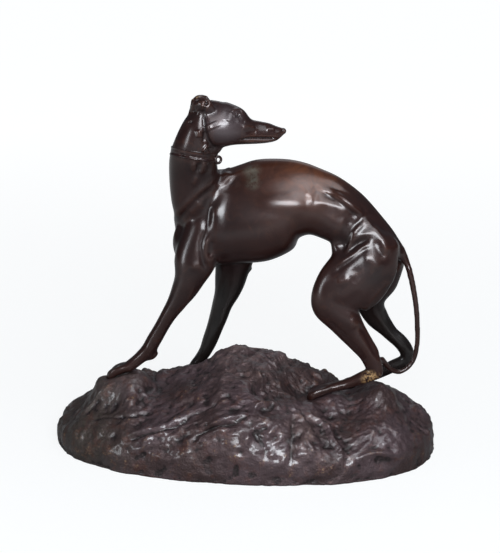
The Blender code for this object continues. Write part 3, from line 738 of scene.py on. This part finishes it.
CHOCOLATE = (0.027, 0.0088, 0.0072)
DEEP_BROWN = (0.014, 0.0055, 0.0052)
CHESTNUT = (0.076, 0.027, 0.016)
RUST = (0.14, 0.044, 0.016)
VERDIGRIS = (0.16, 0.165, 0.13)
# Painted shade: the blackish green laid on the far legs
FAR_SHADE_BLACK_GREEN = (0.010, 0.0095, 0.0088)
BARE_BRASS = (0.50, 0.30, 0.13)


def hound_patina():
    """The hound's patina: chocolate, redder on the back and ridges, and darker in the hollows."""
    material, shader, spot, grain = start_material("hound_patina")
    cloud = speckle(spot, 22, 4)
    fine = speckle(spot, 160, 5, 0.6)
    brush = speckle(spot, 60, 6, 0.65, 1.5)
    colour = blend_colour(ramp(cloud, 0.35, 0.7), CHOCOLATE, DEEP_BROWN)
    colour = blend_colour(ramp(brush, 0.52, 0.75) * 0.35, colour, CHESTNUT)
    back = nearness(spot, place(40, 0, 207), 0.085, 0.1) * (0.5 + 0.5 * ramp(brush, 0.3, 0.65))
    colour = blend_colour(back * 0.9, colour, CHESTNUT)
    loin = nearness(spot, place(58, -6, 197), 0.042, 0.1) * (0.35 + 0.65 * ramp(brush, 0.35, 0.62))
    colour = blend_colour(loin * 0.75, colour, RUST)
    colour = blend_colour(ramp(grain, 0.12, 0.5) * 0.2, colour, CHESTNUT)
    colour = blend_colour(ramp(grain, -0.08, -0.5) * 0.7, colour, DEEP_BROWN)
    patches = nearness(spot, place(7, -15, 197), 0.012, 0.1) + nearness(spot, place(9, -21, 188), 0.010, 0.1)
    worn = patches * ramp(speckle(spot, 140, 4, 0.7), 0.32, 0.62)
    colour = blend_colour(worn * 0.6, colour, VERDIGRIS)
    # The legs on the far side are painted blacker, with a touch of green: painted shade, as they face away
    # from the light
    axes = spot.node("ShaderNodeSeparateXYZ", None, Vector=spot)
    far = ramp(output(axes, "Y"), 0.008, 0.02) * ramp(output(axes, "Z"), 0.172, 0.15)
    colour = blend_colour(far * 0.85, colour, FAR_SHADE_BLACK_GREEN)
    braze = nearness(spot, place(114, -29, 17), 0.011, 0.3) * ramp(speckle(spot, 420, 3, 0.6), 0.42, 0.6)
    colour = blend_colour(braze, colour, BARE_BRASS)
    feed(shader, "Base Color", colour)
    waxed(shader, 0.33 + 0.1 * fine + 0.15 * worn)
    relief = speckle(spot, 300, 4, 0.55) + 0.6 * speckle(spot, 90, 3)
    feed(shader, "Normal", bump(relief, 0.10, 0.0008))
    return material


body.data.materials.append(hound_patina())
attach(body, "root")
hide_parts("whippet")

# The head
# Part of the same casting, but finer: flat cheeks, a sunk eye, the mouth's line over a
# thin lower lip, and ears folded back with hollows under their rims.
HEAD_VOXEL = 0.00058
HEAD_RUBBING = 2
# The head is wider over the jaw than over the skull.
HEAD_EGG = -0.21
HEAD = [(-34, -21, 246.5, 9.5, 9), (-25.5, -20, 238.2, 18.8, 14.5), (-15, -18, 235.4, 19.2, 15.5),
        (-4, -15.5, 233.3, 15.9, 13.4), (4, -13.5, 229.4, 11.3, 10), (13, -11, 228.3, 9.8, 7.8),
        (21.5, -8.5, 227.6, 8.5, 6.6), (28, -7, 227.4, 6.3, 5.2), (33.6, -5, 228.8, 2.8, 3.2)]
EAR = [(-24, -28, 249, 4, 3), (-28.5, -30, 253, 6.2, 4), (-34, -28.5, 253.4, 6.4, 4),
       (-39, -25, 248, 4.4, 3.4), (-43.5, -21, 241, 3, 2.4)]
# Two places, as x and y, on the upright plane that halves the turned head.
POLL = np.array((-26.0, -20.0))
NOSE = np.array((34.0, -5.0))


def across_head(points):
    """The same points or stations on the head's other side, in the reverse order."""
    ahead = (NOSE - POLL) / np.linalg.norm(NOSE - POLL)
    across = np.array((-ahead[1], ahead[0]))
    mirror = []
    for x, y, *rest in reversed(points):
        gap = (np.array((x, y)) - POLL) @ across
        mirror.append((x - 2 * gap * across[0], y - 2 * gap * across[1], *rest))
    return mirror


HEAD_LINES = [
    # The cheek's rear edge, with the groove behind it
    ([(-21.3, -26.1, 219.5), (-24.8, -32, 226.5), (-26.4, -33.5, 233.9), (-28.2, -32.7, 240.3),
      (-28.9, -31.9, 245.7), (-29, -32.7, 250.9)], 1.7, -0.9, True),
    ([(-22.9, -27.1, 218.8), (-26.7, -32.3, 225.2), (-28.5, -33.5, 233), (-30.2, -32.3, 239.9),
      (-30.8, -31.7, 247.4)], 1.3, -0.8),
    # The swells of the cheek and the temple
    ([(-25.4, -33.3, 238.5), (-23.6, -34.2, 233.5)], 5.5, 1.7),
    ([(-7.1, -26, 247.5), (-8.4, -29, 244), (-9.4, -30.9, 240)], 3.6, 1),
    # The eye: the brow, the socket, the ball and its lids
    ([(-7.5, -27.3, 248.3), (-5, -23.5, 249.7), (-1.3, -19.6, 249), (1.7, -20.4, 246.1)], 1.1, 0.7),
    ([(-4.1, -27.2, 246.1), (0.2, -24.9, 245.2)], 2.4, -1.1),
    ([(-3.4, -26.7, 246), (-1.6, -25.7, 245.6)], 1.1, 0.9),
    ([(-5.4, -27.4, 246.9), (-2.8, -24.4, 247.6), (0.1, -24, 245.9)], 0.6, 0.5),
    ([(-5, -28.6, 245.4), (-2, -27.8, 244.2), (0.2, -25.3, 244.7)], 0.6, 0.5),
    ([(-0.3, -27.6, 242.3), (4.2, -23.7, 239.1)], 2.4, -0.5),
    # The muzzle: the ridge over the lip, and the mouth
    ([(1.2, -26.2, 234.4), (5.8, -22.9, 235.9), (12.1, -18.9, 234)], 2, 1),
    ([(20.2, -15.4, 232.1), (27.4, -11.5, 231.7)], 2, 0.7),
    ([(2.8, -25.6, 231), (13, -19.5, 229.8)], 2, -0.4),
    ([(-2.1, -24.2, 225.5), (7.2, -20, 225.5), (16.8, -15.3, 225), (23.3, -12.7, 224.4),
      (27.7, -10.7, 223.9)], 0.9, -2.2),
    ([(1.4, -21.7, 223.3), (13.5, -16.6, 222.7), (25.7, -11.5, 222.3)], 1, 0.9),
    ([(0.5, -20.9, 221.4), (11.7, -15.7, 220.5), (22.3, -11.3, 220.6)], 0.7, -0.7),
    # The nostril and the end of the lip
    ([(32.5, -9, 229.6), (34.3, -7.6, 229.9)], 0.7, -0.9),
    ([(29, -10.5, 225.8), (32.3, -9.6, 227.5)], 0.8, -0.4),
]
EAR_LINES = [
    # The rim, and the hollows inside it
    ([(-40.9, -28.6, 253.4), (-39.6, -27.9, 257), (-37.9, -18.4, 258.2), (-34, -16.2, 258.9),
      (-30.1, -13.6, 257.9), (-25.2, -19.4, 256)], 0.9, 0.8),
    ([(-38.1, -30.4, 255.4), (-35.4, -31.3, 257.8), (-31.6, -31.6, 258.9), (-28.1, -32.4, 258),
      (-26, -32.6, 256)], 1.2, -1.2),
    ([(-28.8, -33.2, 256.4), (-26.7, -33.3, 254.4)], 1.7, -2),
    ([(-31.9, -32.5, 254.6), (-29.9, -32.1, 253.1)], 1, 0.6),
    ([(-35.8, -29.6, 251.1), (-33.4, -31.6, 247.3)], 2.2, 0.7),
    ([(-28.9, -32.8, 252.6), (-30.4, -31.9, 248.2)], 1.2, -0.9),
    ([(-37.9, -29.4, 252.7), (-38.8, -29.4, 246.8)], 1.5, -0.6),
]
NECK_LINES = [
    ([(-33.8, -34.8, 234), (-33, -35.2, 226.9)], 2.6, 1.4),
    ([(-26.8, -32.2, 220.5), (-29.1, -33.8, 217.8), (-31.6, -34.3, 214.9)], 1.4, 1.5),
    ([(-29.8, -33.7, 232.6), (-30.2, -34.2, 223.4)], 1.9, -1.4),
    ([(-44.2, -30.5, 238), (-38.8, -32.5, 239.8)], 1.2, -0.85),
    ([(-24.6, -29.7, 218.4), (-26.2, -30.9, 214.3)], 1.6, -1.2),
]

skins = bmesh.new()
loft(skins, NECK)
loft(skins, HEAD, egg=HEAD_EGG)
for ear in (EAR, across_head(EAR)):
    loft(skins, ear, sides=20)
muscle(skins, (-16, -20, 224), (-26, -20, 209), 4.6, 7)
muscle(skins, (-35, -22, 253.6), (-8, -17, 248.4), 5, 6)
for side in (-1, 1):
    muscle(skins, (-12, -16 + side * 7, 246.5), (-1, -14.5 + side * 6, 241.5), 2.6, 3.2)
muscle(skins, (28, -6.2, 229.4), (33.6, -5, 229), 1.7, 2.6)
head = bronze_object("hound_head", skins)
fuse(head, HEAD_VOXEL, [NECK, HEAD, EAR])
cut_off(head, COLLAR, -NECK_WAY)
spots, normals = read(head.data)
for line, *stroke in HEAD_LINES + EAR_LINES:
    draw(spots, normals, line, *stroke)
    draw(spots, normals, across_head(line), *stroke)
for line, width, lift in NECK_LINES:
    draw(spots, normals, line, width, lift)
write(head.data, spots)
rub_down(head, HEAD_RUBBING)
keep_grain(head.data, 1.8)
head.data.shade_smooth()


# A painted sheen: the lighter grey laid on the near cheek for its broad soft highlight
CHEEK_SHEEN_GREY = (0.105, 0.085, 0.092)


def head_patina():
    """The head's patina: as the body's, with a painted sheen of grey on the near cheek and the near ear's rim
    worn to brass.
    """
    material, shader, spot, grain = start_material("head_patina")
    cloud = speckle(spot, 26, 4)
    fine = speckle(spot, 200, 5, 0.6)
    brush = speckle(spot, 70, 6, 0.65, 1.5)
    colour = blend_colour(ramp(cloud, 0.35, 0.7), CHOCOLATE, DEEP_BROWN)
    colour = blend_colour(ramp(brush, 0.48, 0.72) * 0.5, colour, CHESTNUT)
    colour = blend_colour(ramp(grain, 0.15, 0.6) * 0.35, colour, CHESTNUT)
    colour = blend_colour(ramp(grain, -0.08, -0.5) * 0.8, colour, DEEP_BROWN)
    # The near cheek is painted lighter grey, a painted sheen
    cheek = nearness(spot, place(-12, -31, 238), 0.024, 0.2)
    colour = blend_colour(cheek * 0.55, colour, CHEEK_SHEEN_GREY)
    rim = nearness(spot, place(-39, -22, 262), 0.0075, 0.5) * ramp(grain, 0.4, 0.9)
    colour = blend_colour(rim * 0.7, colour, BARE_BRASS)
    feed(shader, "Base Color", colour)
    waxed(shader, 0.32 + 0.1 * fine)
    relief = speckle(spot, 300, 4, 0.55) + 0.6 * speckle(spot, 90, 3)
    feed(shader, "Normal", bump(relief, 0.08, 0.0008))
    return material


head.data.materials.append(head_patina())
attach(head, "root")
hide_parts("whippet")

# The collar and its ring
# A flat strap with a raised cord along each edge, cast with the neck, and a small ring
# hanging from its front.
COLLAR_SIDES = 96
# Each row of the strap: how far it is along the neck and how proud of the skin.
COLLAR_PROFILE = [(-4.1, -2.6), (-4.1, -1.2), (-4, 0.2), (-3.5, 0.75), (-2.8, 0.75), (-2.3, 0.3),
                  (-1.2, 0.25), (0, 0.25), (1.2, 0.25), (2.3, 0.3), (2.8, 0.75), (3.5, 0.75),
                  (4, 0.2), (4.1, -1.2), (4.1, -2.6)]
# The skin isn't felt nearer than this to the cut between the body and the head.
CUT_MARGIN = 0.6
RING = (-19.8, -22, 206)
RING_RADIUS = 2.8
RING_WIRE = 1.15


def skin_of(thing):
    """The piece's skin, ready for rays to be cast at it."""
    bm = bmesh.new()
    bm.from_mesh(thing.data)
    skin = BVHTree.FromBMesh(bm)
    bm.free()
    return skin


def neck_reaches(skin, along):
    """How far the skin lies from the neck's middle, in each way out, that far along the neck."""
    centre = place(*COLLAR) + collar_way * along * UNIT
    reaches = []
    for out in ways_out:
        hit = skin.ray_cast(centre + out * 40 * UNIT, -out)[0]
        reaches.append((hit - centre).length / UNIT)
    return reaches


collar_way = Vector(NECK_WAY)
ahead = Vector((1, 0, 0))
ahead = (ahead - collar_way * ahead.dot(collar_way)).normalized()
aside = collar_way.cross(ahead)
ways_out = []
for i in range(COLLAR_SIDES):
    angle = math.tau * i / COLLAR_SIDES
    ways_out.append(ahead * math.cos(angle) + aside * math.sin(angle))
body_skin = skin_of(body)
head_skin = skin_of(head)
rows = []
for along, proud in COLLAR_PROFILE:
    felt = math.copysign(max(abs(along), CUT_MARGIN), along)
    rows.append(neck_reaches(body_skin if along < 0 else head_skin, felt))
# The strap is half as wavy along the neck as the skin under it; its two hidden rows don't count
rows = np.array(rows) * 0.5 + np.mean(rows[1:-1], axis=0) * 0.5
strap = bmesh.new()
rings = []
for (along, proud), reaches in zip(COLLAR_PROFILE, rows):
    middle = Vector(COLLAR) + collar_way * along
    rings.append([strap.verts.new(middle + out * (reach + proud)) for out, reach in zip(ways_out, reaches)])
for lower, upper in zip(rings, rings[1:] + rings[:1]):
    for i in range(COLLAR_SIDES):
        j = (i + 1) % COLLAR_SIDES
        strap.faces.new((lower[i], lower[j], upper[j], upper[i]))
collar = bronze_object("collar", strap)
rounding = collar.modifiers.new("rounding", "SUBSURF")
rounding.levels = 1
rounding.render_levels = 1
apply_all(collar)
collar.data.shade_smooth()

bpy.ops.object.select_all(action="DESELECT")
bpy.ops.mesh.primitive_torus_add(location=place(*RING), rotation=(math.radians(90), 0, math.radians(35)),
                                 major_radius=RING_RADIUS * UNIT, minor_radius=RING_WIRE * UNIT,
                                 major_segments=40, minor_segments=14)
ring_piece = bpy.context.object
ring_piece.name = "collar_ring"
bpy.ops.object.transform_apply(location=True, rotation=True, scale=True)
bpy.ops.object.shade_smooth()


def collar_patina():
    """The collar's patina: the hound's browns in finer patches, over a rougher skin."""
    material, shader, spot, grain = start_material("collar_patina")
    colour = blend_colour(ramp(speckle(spot, 60, 4), 0.35, 0.7), CHOCOLATE, DEEP_BROWN)
    colour = blend_colour(ramp(speckle(spot, 240, 4, 0.7), 0.5, 0.7) * 0.5, colour, CHESTNUT)
    feed(shader, "Base Color", colour)
    waxed(shader, 0.32 + 0.12 * speckle(spot, 260, 4))
    feed(shader, "Normal", bump(speckle(spot, 900, 2, 0.5), 0.5, 0.0006))
    return material


collar_metal = collar_patina()
for thing in (collar, ring_piece):
    thing.data.materials.append(collar_metal)
    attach(thing, "root")
    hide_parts("whippet")

# The rock
# A hollow casting of a modelled mound: lumpy and ridged where the clay was torn and
# pressed, plainer round its foot, with the paws brazed into seats on its top.
BASE_LENGTH = 0.342
BASE_WIDTH = 0.2056
ROCK_HEIGHT = 0.089
RIM_HEIGHT = 0.009
FOOTPRINT_POWER = 2.3
FALL_NEAR = 0.42
FALL_FAR = 0.60
LUMP_SIZE = 0.030
LUMP_HEIGHT = 0.0035
SEAT_REACH = 0.025
SEAT_FADE = 0.018
HOCK = (122, -24, 12.6)
KNOB_REACH = 0.015
SKYLINE = [(-1, 0.14), (-0.97, 0.27), (-0.915, 0.35), (-0.825, 0.46), (-0.79, 0.515),
           (-0.64, 0.61), (-0.54, 0.685), (-0.47, 0.665), (-0.41, 0.695), (-0.34, 0.745),
           (-0.24, 0.79), (-0.155, 0.88), (-0.08, 1), (0, 1), (0.09, 0.97), (0.21, 0.90),
           (0.29, 0.83), (0.38, 0.75), (0.43, 0.64), (0.5, 0.575), (0.57, 0.6), (0.66, 0.64),
           (0.75, 0.615), (0.82, 0.53), (0.906, 0.43), (0.97, 0.32), (1, 0.14)]
RINGS = 150
SEGMENTS = 520
WALL_ROWS = 6


def footprint(angle, share=1.0):
    """A place on the footprint, from its middle at share 0 to its rim at share 1."""
    power = 2 / FOOTPRINT_POWER
    cosine = math.cos(angle)
    sine = math.sin(angle)
    x = BASE_LENGTH / 2 * share * math.copysign(abs(cosine) ** power, cosine)
    y = BASE_WIDTH / 2 * share * math.copysign(abs(sine) ** power, sine)
    return x, y


def out_share(x, y):
    """How far out a place lies, 1 being the rim."""
    power = FOOTPRINT_POWER
    return ((abs(x) / (BASE_LENGTH / 2)) ** power + (abs(y) / (BASE_WIDTH / 2)) ** power) ** (1 / power)


def mound(x, y):
    """The smooth height of the rock, with lumps and slanting ledges worked over it."""
    along = min(abs(x) / (BASE_LENGTH / 2), 1)
    places, heights = zip(*SKYLINE)
    skyline = np.interp(x / (BASE_LENGTH / 2), places, heights) * ROCK_HEIGHT
    edge = BASE_WIDTH / 2 * (1 - along ** FOOTPRINT_POWER) ** (1 / FOOTPRINT_POWER)
    out = min(abs(y) / max(edge, 0.0003), 1)
    fall = FALL_NEAR if y < 0 else FALL_FAR
    height = RIM_HEIGHT + (skyline - RIM_HEIGHT) * (1 - fall * out) * (1 - out ** 9) ** 0.55
    inner = 1 - max(along, out) ** 6
    lumps = noise.noise(Vector((x, y, height)) / LUMP_SIZE)
    slant = noise.noise(Vector((x - height * 1.3, y * 0.6, LUMP_SIZE * 4)) / LUMP_SIZE)
    return height + (lumps + slant) * LUMP_HEIGHT * inner


def seat(heel, tip, x, y):
    """The height of a paw's seat near a place, and how firmly the place is held to it."""
    first = place(*heel) - Vector((0, 0, 5.2 * UNIT))
    last = place(*tip) - Vector((0, 0, 2.4 * UNIT))
    run = (last - first).to_2d()
    share = (Vector((x, y)) - first.to_2d()).dot(run) / run.length_squared
    nearest = first.lerp(last, min(max(share, 0), 1))
    gap = (Vector((x, y)) - nearest.to_2d()).length
    hold = min(max((SEAT_REACH - gap) / SEAT_FADE, 0), 1)
    return nearest.z, hold * hold * (3 - 2 * hold)


def rock_surface(x, y):
    """The height of the rock over a place, and how firmly a seat holds it there."""
    height = mound(x, y)
    held = 0
    for heel, tip in PAWS.values():
        level, hold = seat(heel, tip, x, y)
        height += (level - height) * hold
        held = max(held, hold)
    hock = place(*HOCK)
    gap = (Vector((x, y)) - hock.to_2d()).length
    height += max(hock.z - height, 0) * math.exp(-(gap / KNOB_REACH) ** 2)
    return max(height, RIM_HEIGHT), held


def rock_mesh():
    """Rings of the footprint raised to the rock's surface, over a wall and a flat underside."""
    bm = bmesh.new()
    rings = []
    seats = []
    for ring in range(1, RINGS + 1):
        share = (ring / RINGS) ** 0.72
        verts = []
        for i in range(SEGMENTS):
            x, y = footprint(math.tau * i / SEGMENTS, share)
            height, held = rock_surface(x, y)
            verts.append(bm.verts.new((x, y, height)))
            seats.append(held)
        rings.append(verts)
    for row in range(1, WALL_ROWS + 1):
        verts = []
        for rim in rings[RINGS - 1]:
            verts.append(bm.verts.new((rim.co.x, rim.co.y, rim.co.z * (1 - row / WALL_ROWS))))
            seats.append(0)
        rings.append(verts)
    middle = bm.verts.new((0, 0, rock_surface(0, 0)[0]))
    seats.append(0)
    for inner, outer in zip(rings, rings[1:]):
        for i in range(SEGMENTS):
            j = (i + 1) % SEGMENTS
            bm.faces.new((inner[i], outer[i], outer[j], inner[j]))
    for i in range(SEGMENTS):
        bm.faces.new((middle, rings[0][i], rings[0][(i + 1) % SEGMENTS]))
    bm.faces.new(rings[-1][::-1])
    bmesh.ops.recalc_face_normals(bm, faces=bm.faces)
    mesh = bpy.data.meshes.new("rock")
    bm.to_mesh(mesh)
    bm.free()
    return mesh, np.array(seats)


# Crests and clefts worked into the front of the rock: a line in millimetres, its width
# and its lift.
ROCK_LINES = [
    # The crest that runs from under the near forepaw to the left end
    ([(-110, -39.4, 61.5), (-119.2, -40.4, 57.7), (-129.5, -42.4, 44.9), (-136.2, -45.8, 35),
      (-137, -56.1, 31.5)], 2.4, 1.8),
    ([(-114, -42.2, 56.3), (-122.5, -45, 47.6), (-128, -49.9, 37.9)], 4, -1.3),
    # Long clefts that climb to the right
    ([(-130, -58.9, 34.3), (-113.2, -60.3, 39.4), (-91.6, -65.6, 43.3), (-82.2, -62.3, 45),
      (-65.3, -58.8, 48.4)], 1.7, -1.3),
    ([(-89.6, -85.8, 28.6), (-80.3, -85.9, 32.3), (-63.1, -85.2, 38.3), (-46.3, -81.8, 45.1),
      (-35.2, -73.7, 51.6), (-20.6, -73, 58.8), (-5.7, -65.1, 66.5)], 1.7, -2.2),
    ([(-87.3, -83.9, 32), (-71.1, -81.9, 37.5), (-52.5, -79.2, 45.1), (-38.7, -68.2, 52)], 2.6, 1.1),
    ([(-34.4, -96.1, 32.1), (-26.2, -93.2, 40.3), (-16.7, -91.7, 45.2), (-2.2, -91.4, 48.6),
      (8.9, -89.2, 51.1)], 1.6, -2),
    ([(-20.6, -90.6, 46.2), (-8.6, -88.9, 52), (3.3, -85.6, 54.8), (14.6, -80.4, 57.4)], 2, 1.7),
    ([(-75.5, -92.3, 23.3), (-53.1, -97.8, 18.5), (-32.1, -100.4, 18)], 2.4, 0.9),
    # Lumps on the left flank
    ([(-98.4, -48.8, 51.1), (-90.5, -53.2, 49.4)], 4, 1.6),
    ([(-82.3, -73.5, 39.1), (-70.8, -83.9, 36.5)], 5, 1),
    # The crest under the peak, and the lumps below it
    ([(11.1, -30.7, 79.9), (18.3, -43.2, 74.6), (21.2, -53.2, 70.1), (20.9, -58.6, 67.6),
      (29.8, -56.9, 64.2)], 1.8, 1.7),
    ([(10, -42.8, 75.9), (14.8, -54.3, 71.2), (16.1, -64.9, 66)], 3.5, -1.3),
    ([(13.3, -80.6, 57.4), (20.8, -71.9, 60.7), (25.6, -68.8, 61.2), (32.3, -63.8, 60.9),
      (39, -70.8, 56.7)], 1.8, 1.7),
    ([(20.5, -80.2, 56.7), (29.3, -75.9, 57.2), (36.4, -78.2, 54)], 3.4, -1.5),
    ([(11.4, -96, 40.9), (15.7, -96.8, 37.9)], 4, 2.2),
    ([(9.4, -9.1, 84.8), (23, -14.5, 81.8), (34, -10.5, 78)], 2, 0.9),
    ([(17.7, -92.5, 46.1), (26.6, -96.2, 36.4), (30.4, -99.4, 24.4)], 2.6, -1.2),
    # The cleft down the front and the two crests beside it
    ([(51, -68.4, 53.6), (51.2, -83, 45.8), (53.2, -93.5, 33), (51.2, -97.7, 21.2)], 2.2, -2),
    ([(53.3, -68.3, 52.8), (57.5, -68.3, 51.1), (63.4, -76.5, 44.2), (62.6, -86.1, 38.6),
      (66.5, -91.2, 30.5), (70.1, -93.7, 22.7)], 2, 1.8),
    ([(55.4, -64, 53.9), (71.3, -62.9, 45.4), (80.1, -65.8, 40.3), (84.7, -76.4, 35.7),
      (91.1, -83.1, 28.4), (93.9, -86.4, 23.1)], 1.9, 2.4),
    ([(71, -75.5, 41), (76.6, -81.3, 35.5), (80.4, -86.8, 28.9)], 4, -1.8),
    ([(87.5, -68.5, 38.1), (94.9, -77.4, 32.1), (100.5, -84, 23.4)], 4, -1.2),
    # The edge of the smooth shoulder at the right end
    ([(102.4, -85.1, 17.6), (112.6, -79.5, 22.5), (121.9, -74.4, 23.4), (138.6, -64.1, 19.3),
      (151.1, -52.3, 16.8), (161.3, -36.8, 15.1)], 1.9, 1.5),
    ([(101.7, -87, 12), (116.4, -79.3, 16.7), (137.1, -67, 14.5), (153.9, -51.9, 10.8)], 3.5, -0.8),
    ([(150.5, -23.1, 35.2), (160.8, -24.3, 26.8), (167.2, -19.1, 14.7), (170.3, -10.9, 0.1)], 2, 1.2),
    ([(150.6, -42.6, 29), (158.3, -34.6, 25.2), (167.2, -16.4, 16.5)], 1.4, 0.9),
    # The pits round the hind toes, and the groove under the hind foot
    ([(56, -21.9, 54.6), (58.6, -31.4, 52.7), (65.6, -41.5, 54.1), (74.9, -38.8, 54.4)], 2, -1.8),
    ([(79.8, -23.2, 56.7), (92.8, -4.5, 51.7), (107.5, -17.1, 58), (119.9, -27.6, 65.2)], 2.2, -1.4),
]


def roughen(mesh, seats):
    """Work lumps, torn ridges and grit into the rock, but not under the paws."""
    spots = np.empty(len(mesh.vertices) * 3)
    mesh.vertices.foreach_get("co", spots)
    spots = spots.reshape(-1, 3) * 1000
    normals = np.empty(len(mesh.vertices) * 3)
    mesh.vertex_normals.foreach_get("vector", normals)
    normals = normals.reshape(-1, 3)
    free = 1 - seats
    foot = np.clip((spots[:, 2] - 3) / 16, 0, 1)
    carved = spots.copy()
    for line, width, lift in ROCK_LINES:
        draw(carved, normals, line, width * 1.15, lift * 1.5)
        draw(carved, normals, mirrored(line), width * 1.4, lift * 1.2)
    carved = spots + (carved - spots) * free[:, None]
    relief = np.empty(len(spots))
    for i, (x, y, z) in enumerate(carved):
        # The torn ridges lean from lower left to upper right as seen from the front
        along = x * 0.78 + z * 0.62
        across = z * 0.78 - x * 0.62
        lean = Vector((along / 24, y / 17, across / 11))
        lumps = noise.fractal(Vector((x, y, z)) / 22, 1.0, 2.1, 3)
        torn = 1 - abs(noise.fractal(lean, 0.9, 2.2, 3)) * 2
        clods = 0.5 - abs(noise.noise(Vector((x, y * 1.2, z)) / 11)) * 2
        crumple = 0.5 - abs(noise.noise(Vector((x + 50, y, z * 1.3)) / 4.2)) * 2
        grit = noise.noise(Vector((x, y, z)) / 2.2)
        # The two ends are smoother than the middle
        wild = 0.3 + 0.7 * math.exp(-((x - 8) / 92) ** 4) * (0.5 + min(max(lumps + 0.4, 0), 1) * 0.5)
        relief[i] = lumps * 2.8 - 1 + torn * (0.7 + 0.9 * wild)
        relief[i] += (clods * 1.1 + crumple * 0.5 + grit * 0.4) * wild
    relief *= (0.8 + 0.2 * foot) * (0.4 + 0.6 * free)
    relief -= (1 - foot) * 1.3
    carved += normals * relief[:, None]
    # The foot stays flat, and nothing passes the rim
    flat = spots[:, 2] < 0.01
    carved[flat, 2] = 0
    carved[:, 2] = np.maximum(carved[:, 2], 0)
    reach = np.array([out_share(x / 1000, y / 1000) for x, y in carved[:, :2]])
    over = np.maximum(reach, 1)
    carved[:, :2] /= over[:, None]
    mesh.vertices.foreach_set("co", (carved / 1000).ravel())
    mesh.update()


mesh, seats = rock_mesh()
rock = bpy.data.objects.new("rock", mesh)
bpy.context.scene.collection.objects.link(rock)
roughen(mesh, seats)
keep_grain(mesh, 1.0)
mesh.shade_smooth()

ROCK_BROWN = (0.054, 0.030, 0.028)
ROCK_DARK = (0.016, 0.0095, 0.009)
ROCK_PURPLE = (0.085, 0.053, 0.058)
ROCK_RED = (0.11, 0.036, 0.022)
ROCK_GREEN = (0.055, 0.045, 0.034)
ROCK_PALE = (0.19, 0.13, 0.125)
GOLD = (0.32, 0.2, 0.1)


def rock_patina():
    """The rock's patina: purple-brown, dark in its clefts, paler towards its top and on a patch of its front,
    and gold on some crests.
    """
    material, shader, spot, grain = start_material("rock_patina")
    cloud = speckle(spot, 22, 4)
    mottle = speckle(spot, 90, 5, 0.65)
    fine = speckle(spot, 520, 4, 0.6)
    colour = blend_colour(ramp(cloud, 0.4, 0.6), ROCK_BROWN, ROCK_PURPLE)
    axes = spot.node("ShaderNodeSeparateXYZ", None, Vector=spot)
    ends = ramp(output(axes) * -1, 0.06, 0.14)
    colour = blend_colour(ends * 0.8, colour, ROCK_GREEN)
    colour = blend_colour(ramp(mottle, 0.48, 0.7) * 0.5, colour, ROCK_RED)
    colour = blend_colour(ramp(grain, -0.1, -0.8), colour, ROCK_DARK)
    colour = blend_colour(ramp(fine, 0.45, 0.65) * 0.4, colour, ROCK_PURPLE)
    # Paler towards the top of the rock and on a patch of its front
    pale_top_and_patch = ramp(output(axes, "Z"), 0.06, 0.088) + nearness(spot, (0.062, -0.082, 0.04), 0.034, 0.2)
    colour = blend_colour(pale_top_and_patch * ramp(mottle, 0.4, 0.6) * 0.62, colour, ROCK_PALE)
    crests = ramp(grain, 0.35, 0.9) * ramp(mottle, 0.5, 0.62)
    gold = crests * ramp(fine, 0.52, 0.64)
    colour = blend_colour(gold * 0.6, colour, GOLD)
    feed(shader, "Base Color", colour)
    shader.inputs["Metallic"].default_value = 0.45
    feed(shader, "Roughness", 0.36 + 0.26 * fine)
    feed(shader, "Coat Weight", 0.5 + 0.5 * ramp(cloud, 0.42, 0.58) * ramp(grain, -0.2, 0.2))
    shader.inputs["Coat Roughness"].default_value = 0.2
    relief = speckle(spot, 620, 5, 0.65) + 1.8 * speckle(spot, 230, 4, 0.6)
    feed(shader, "Normal", bump(relief, 0.6, 0.0012))
    return material


rock.data.materials.append(rock_patina())
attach(rock, "root")
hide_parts("rock_base")
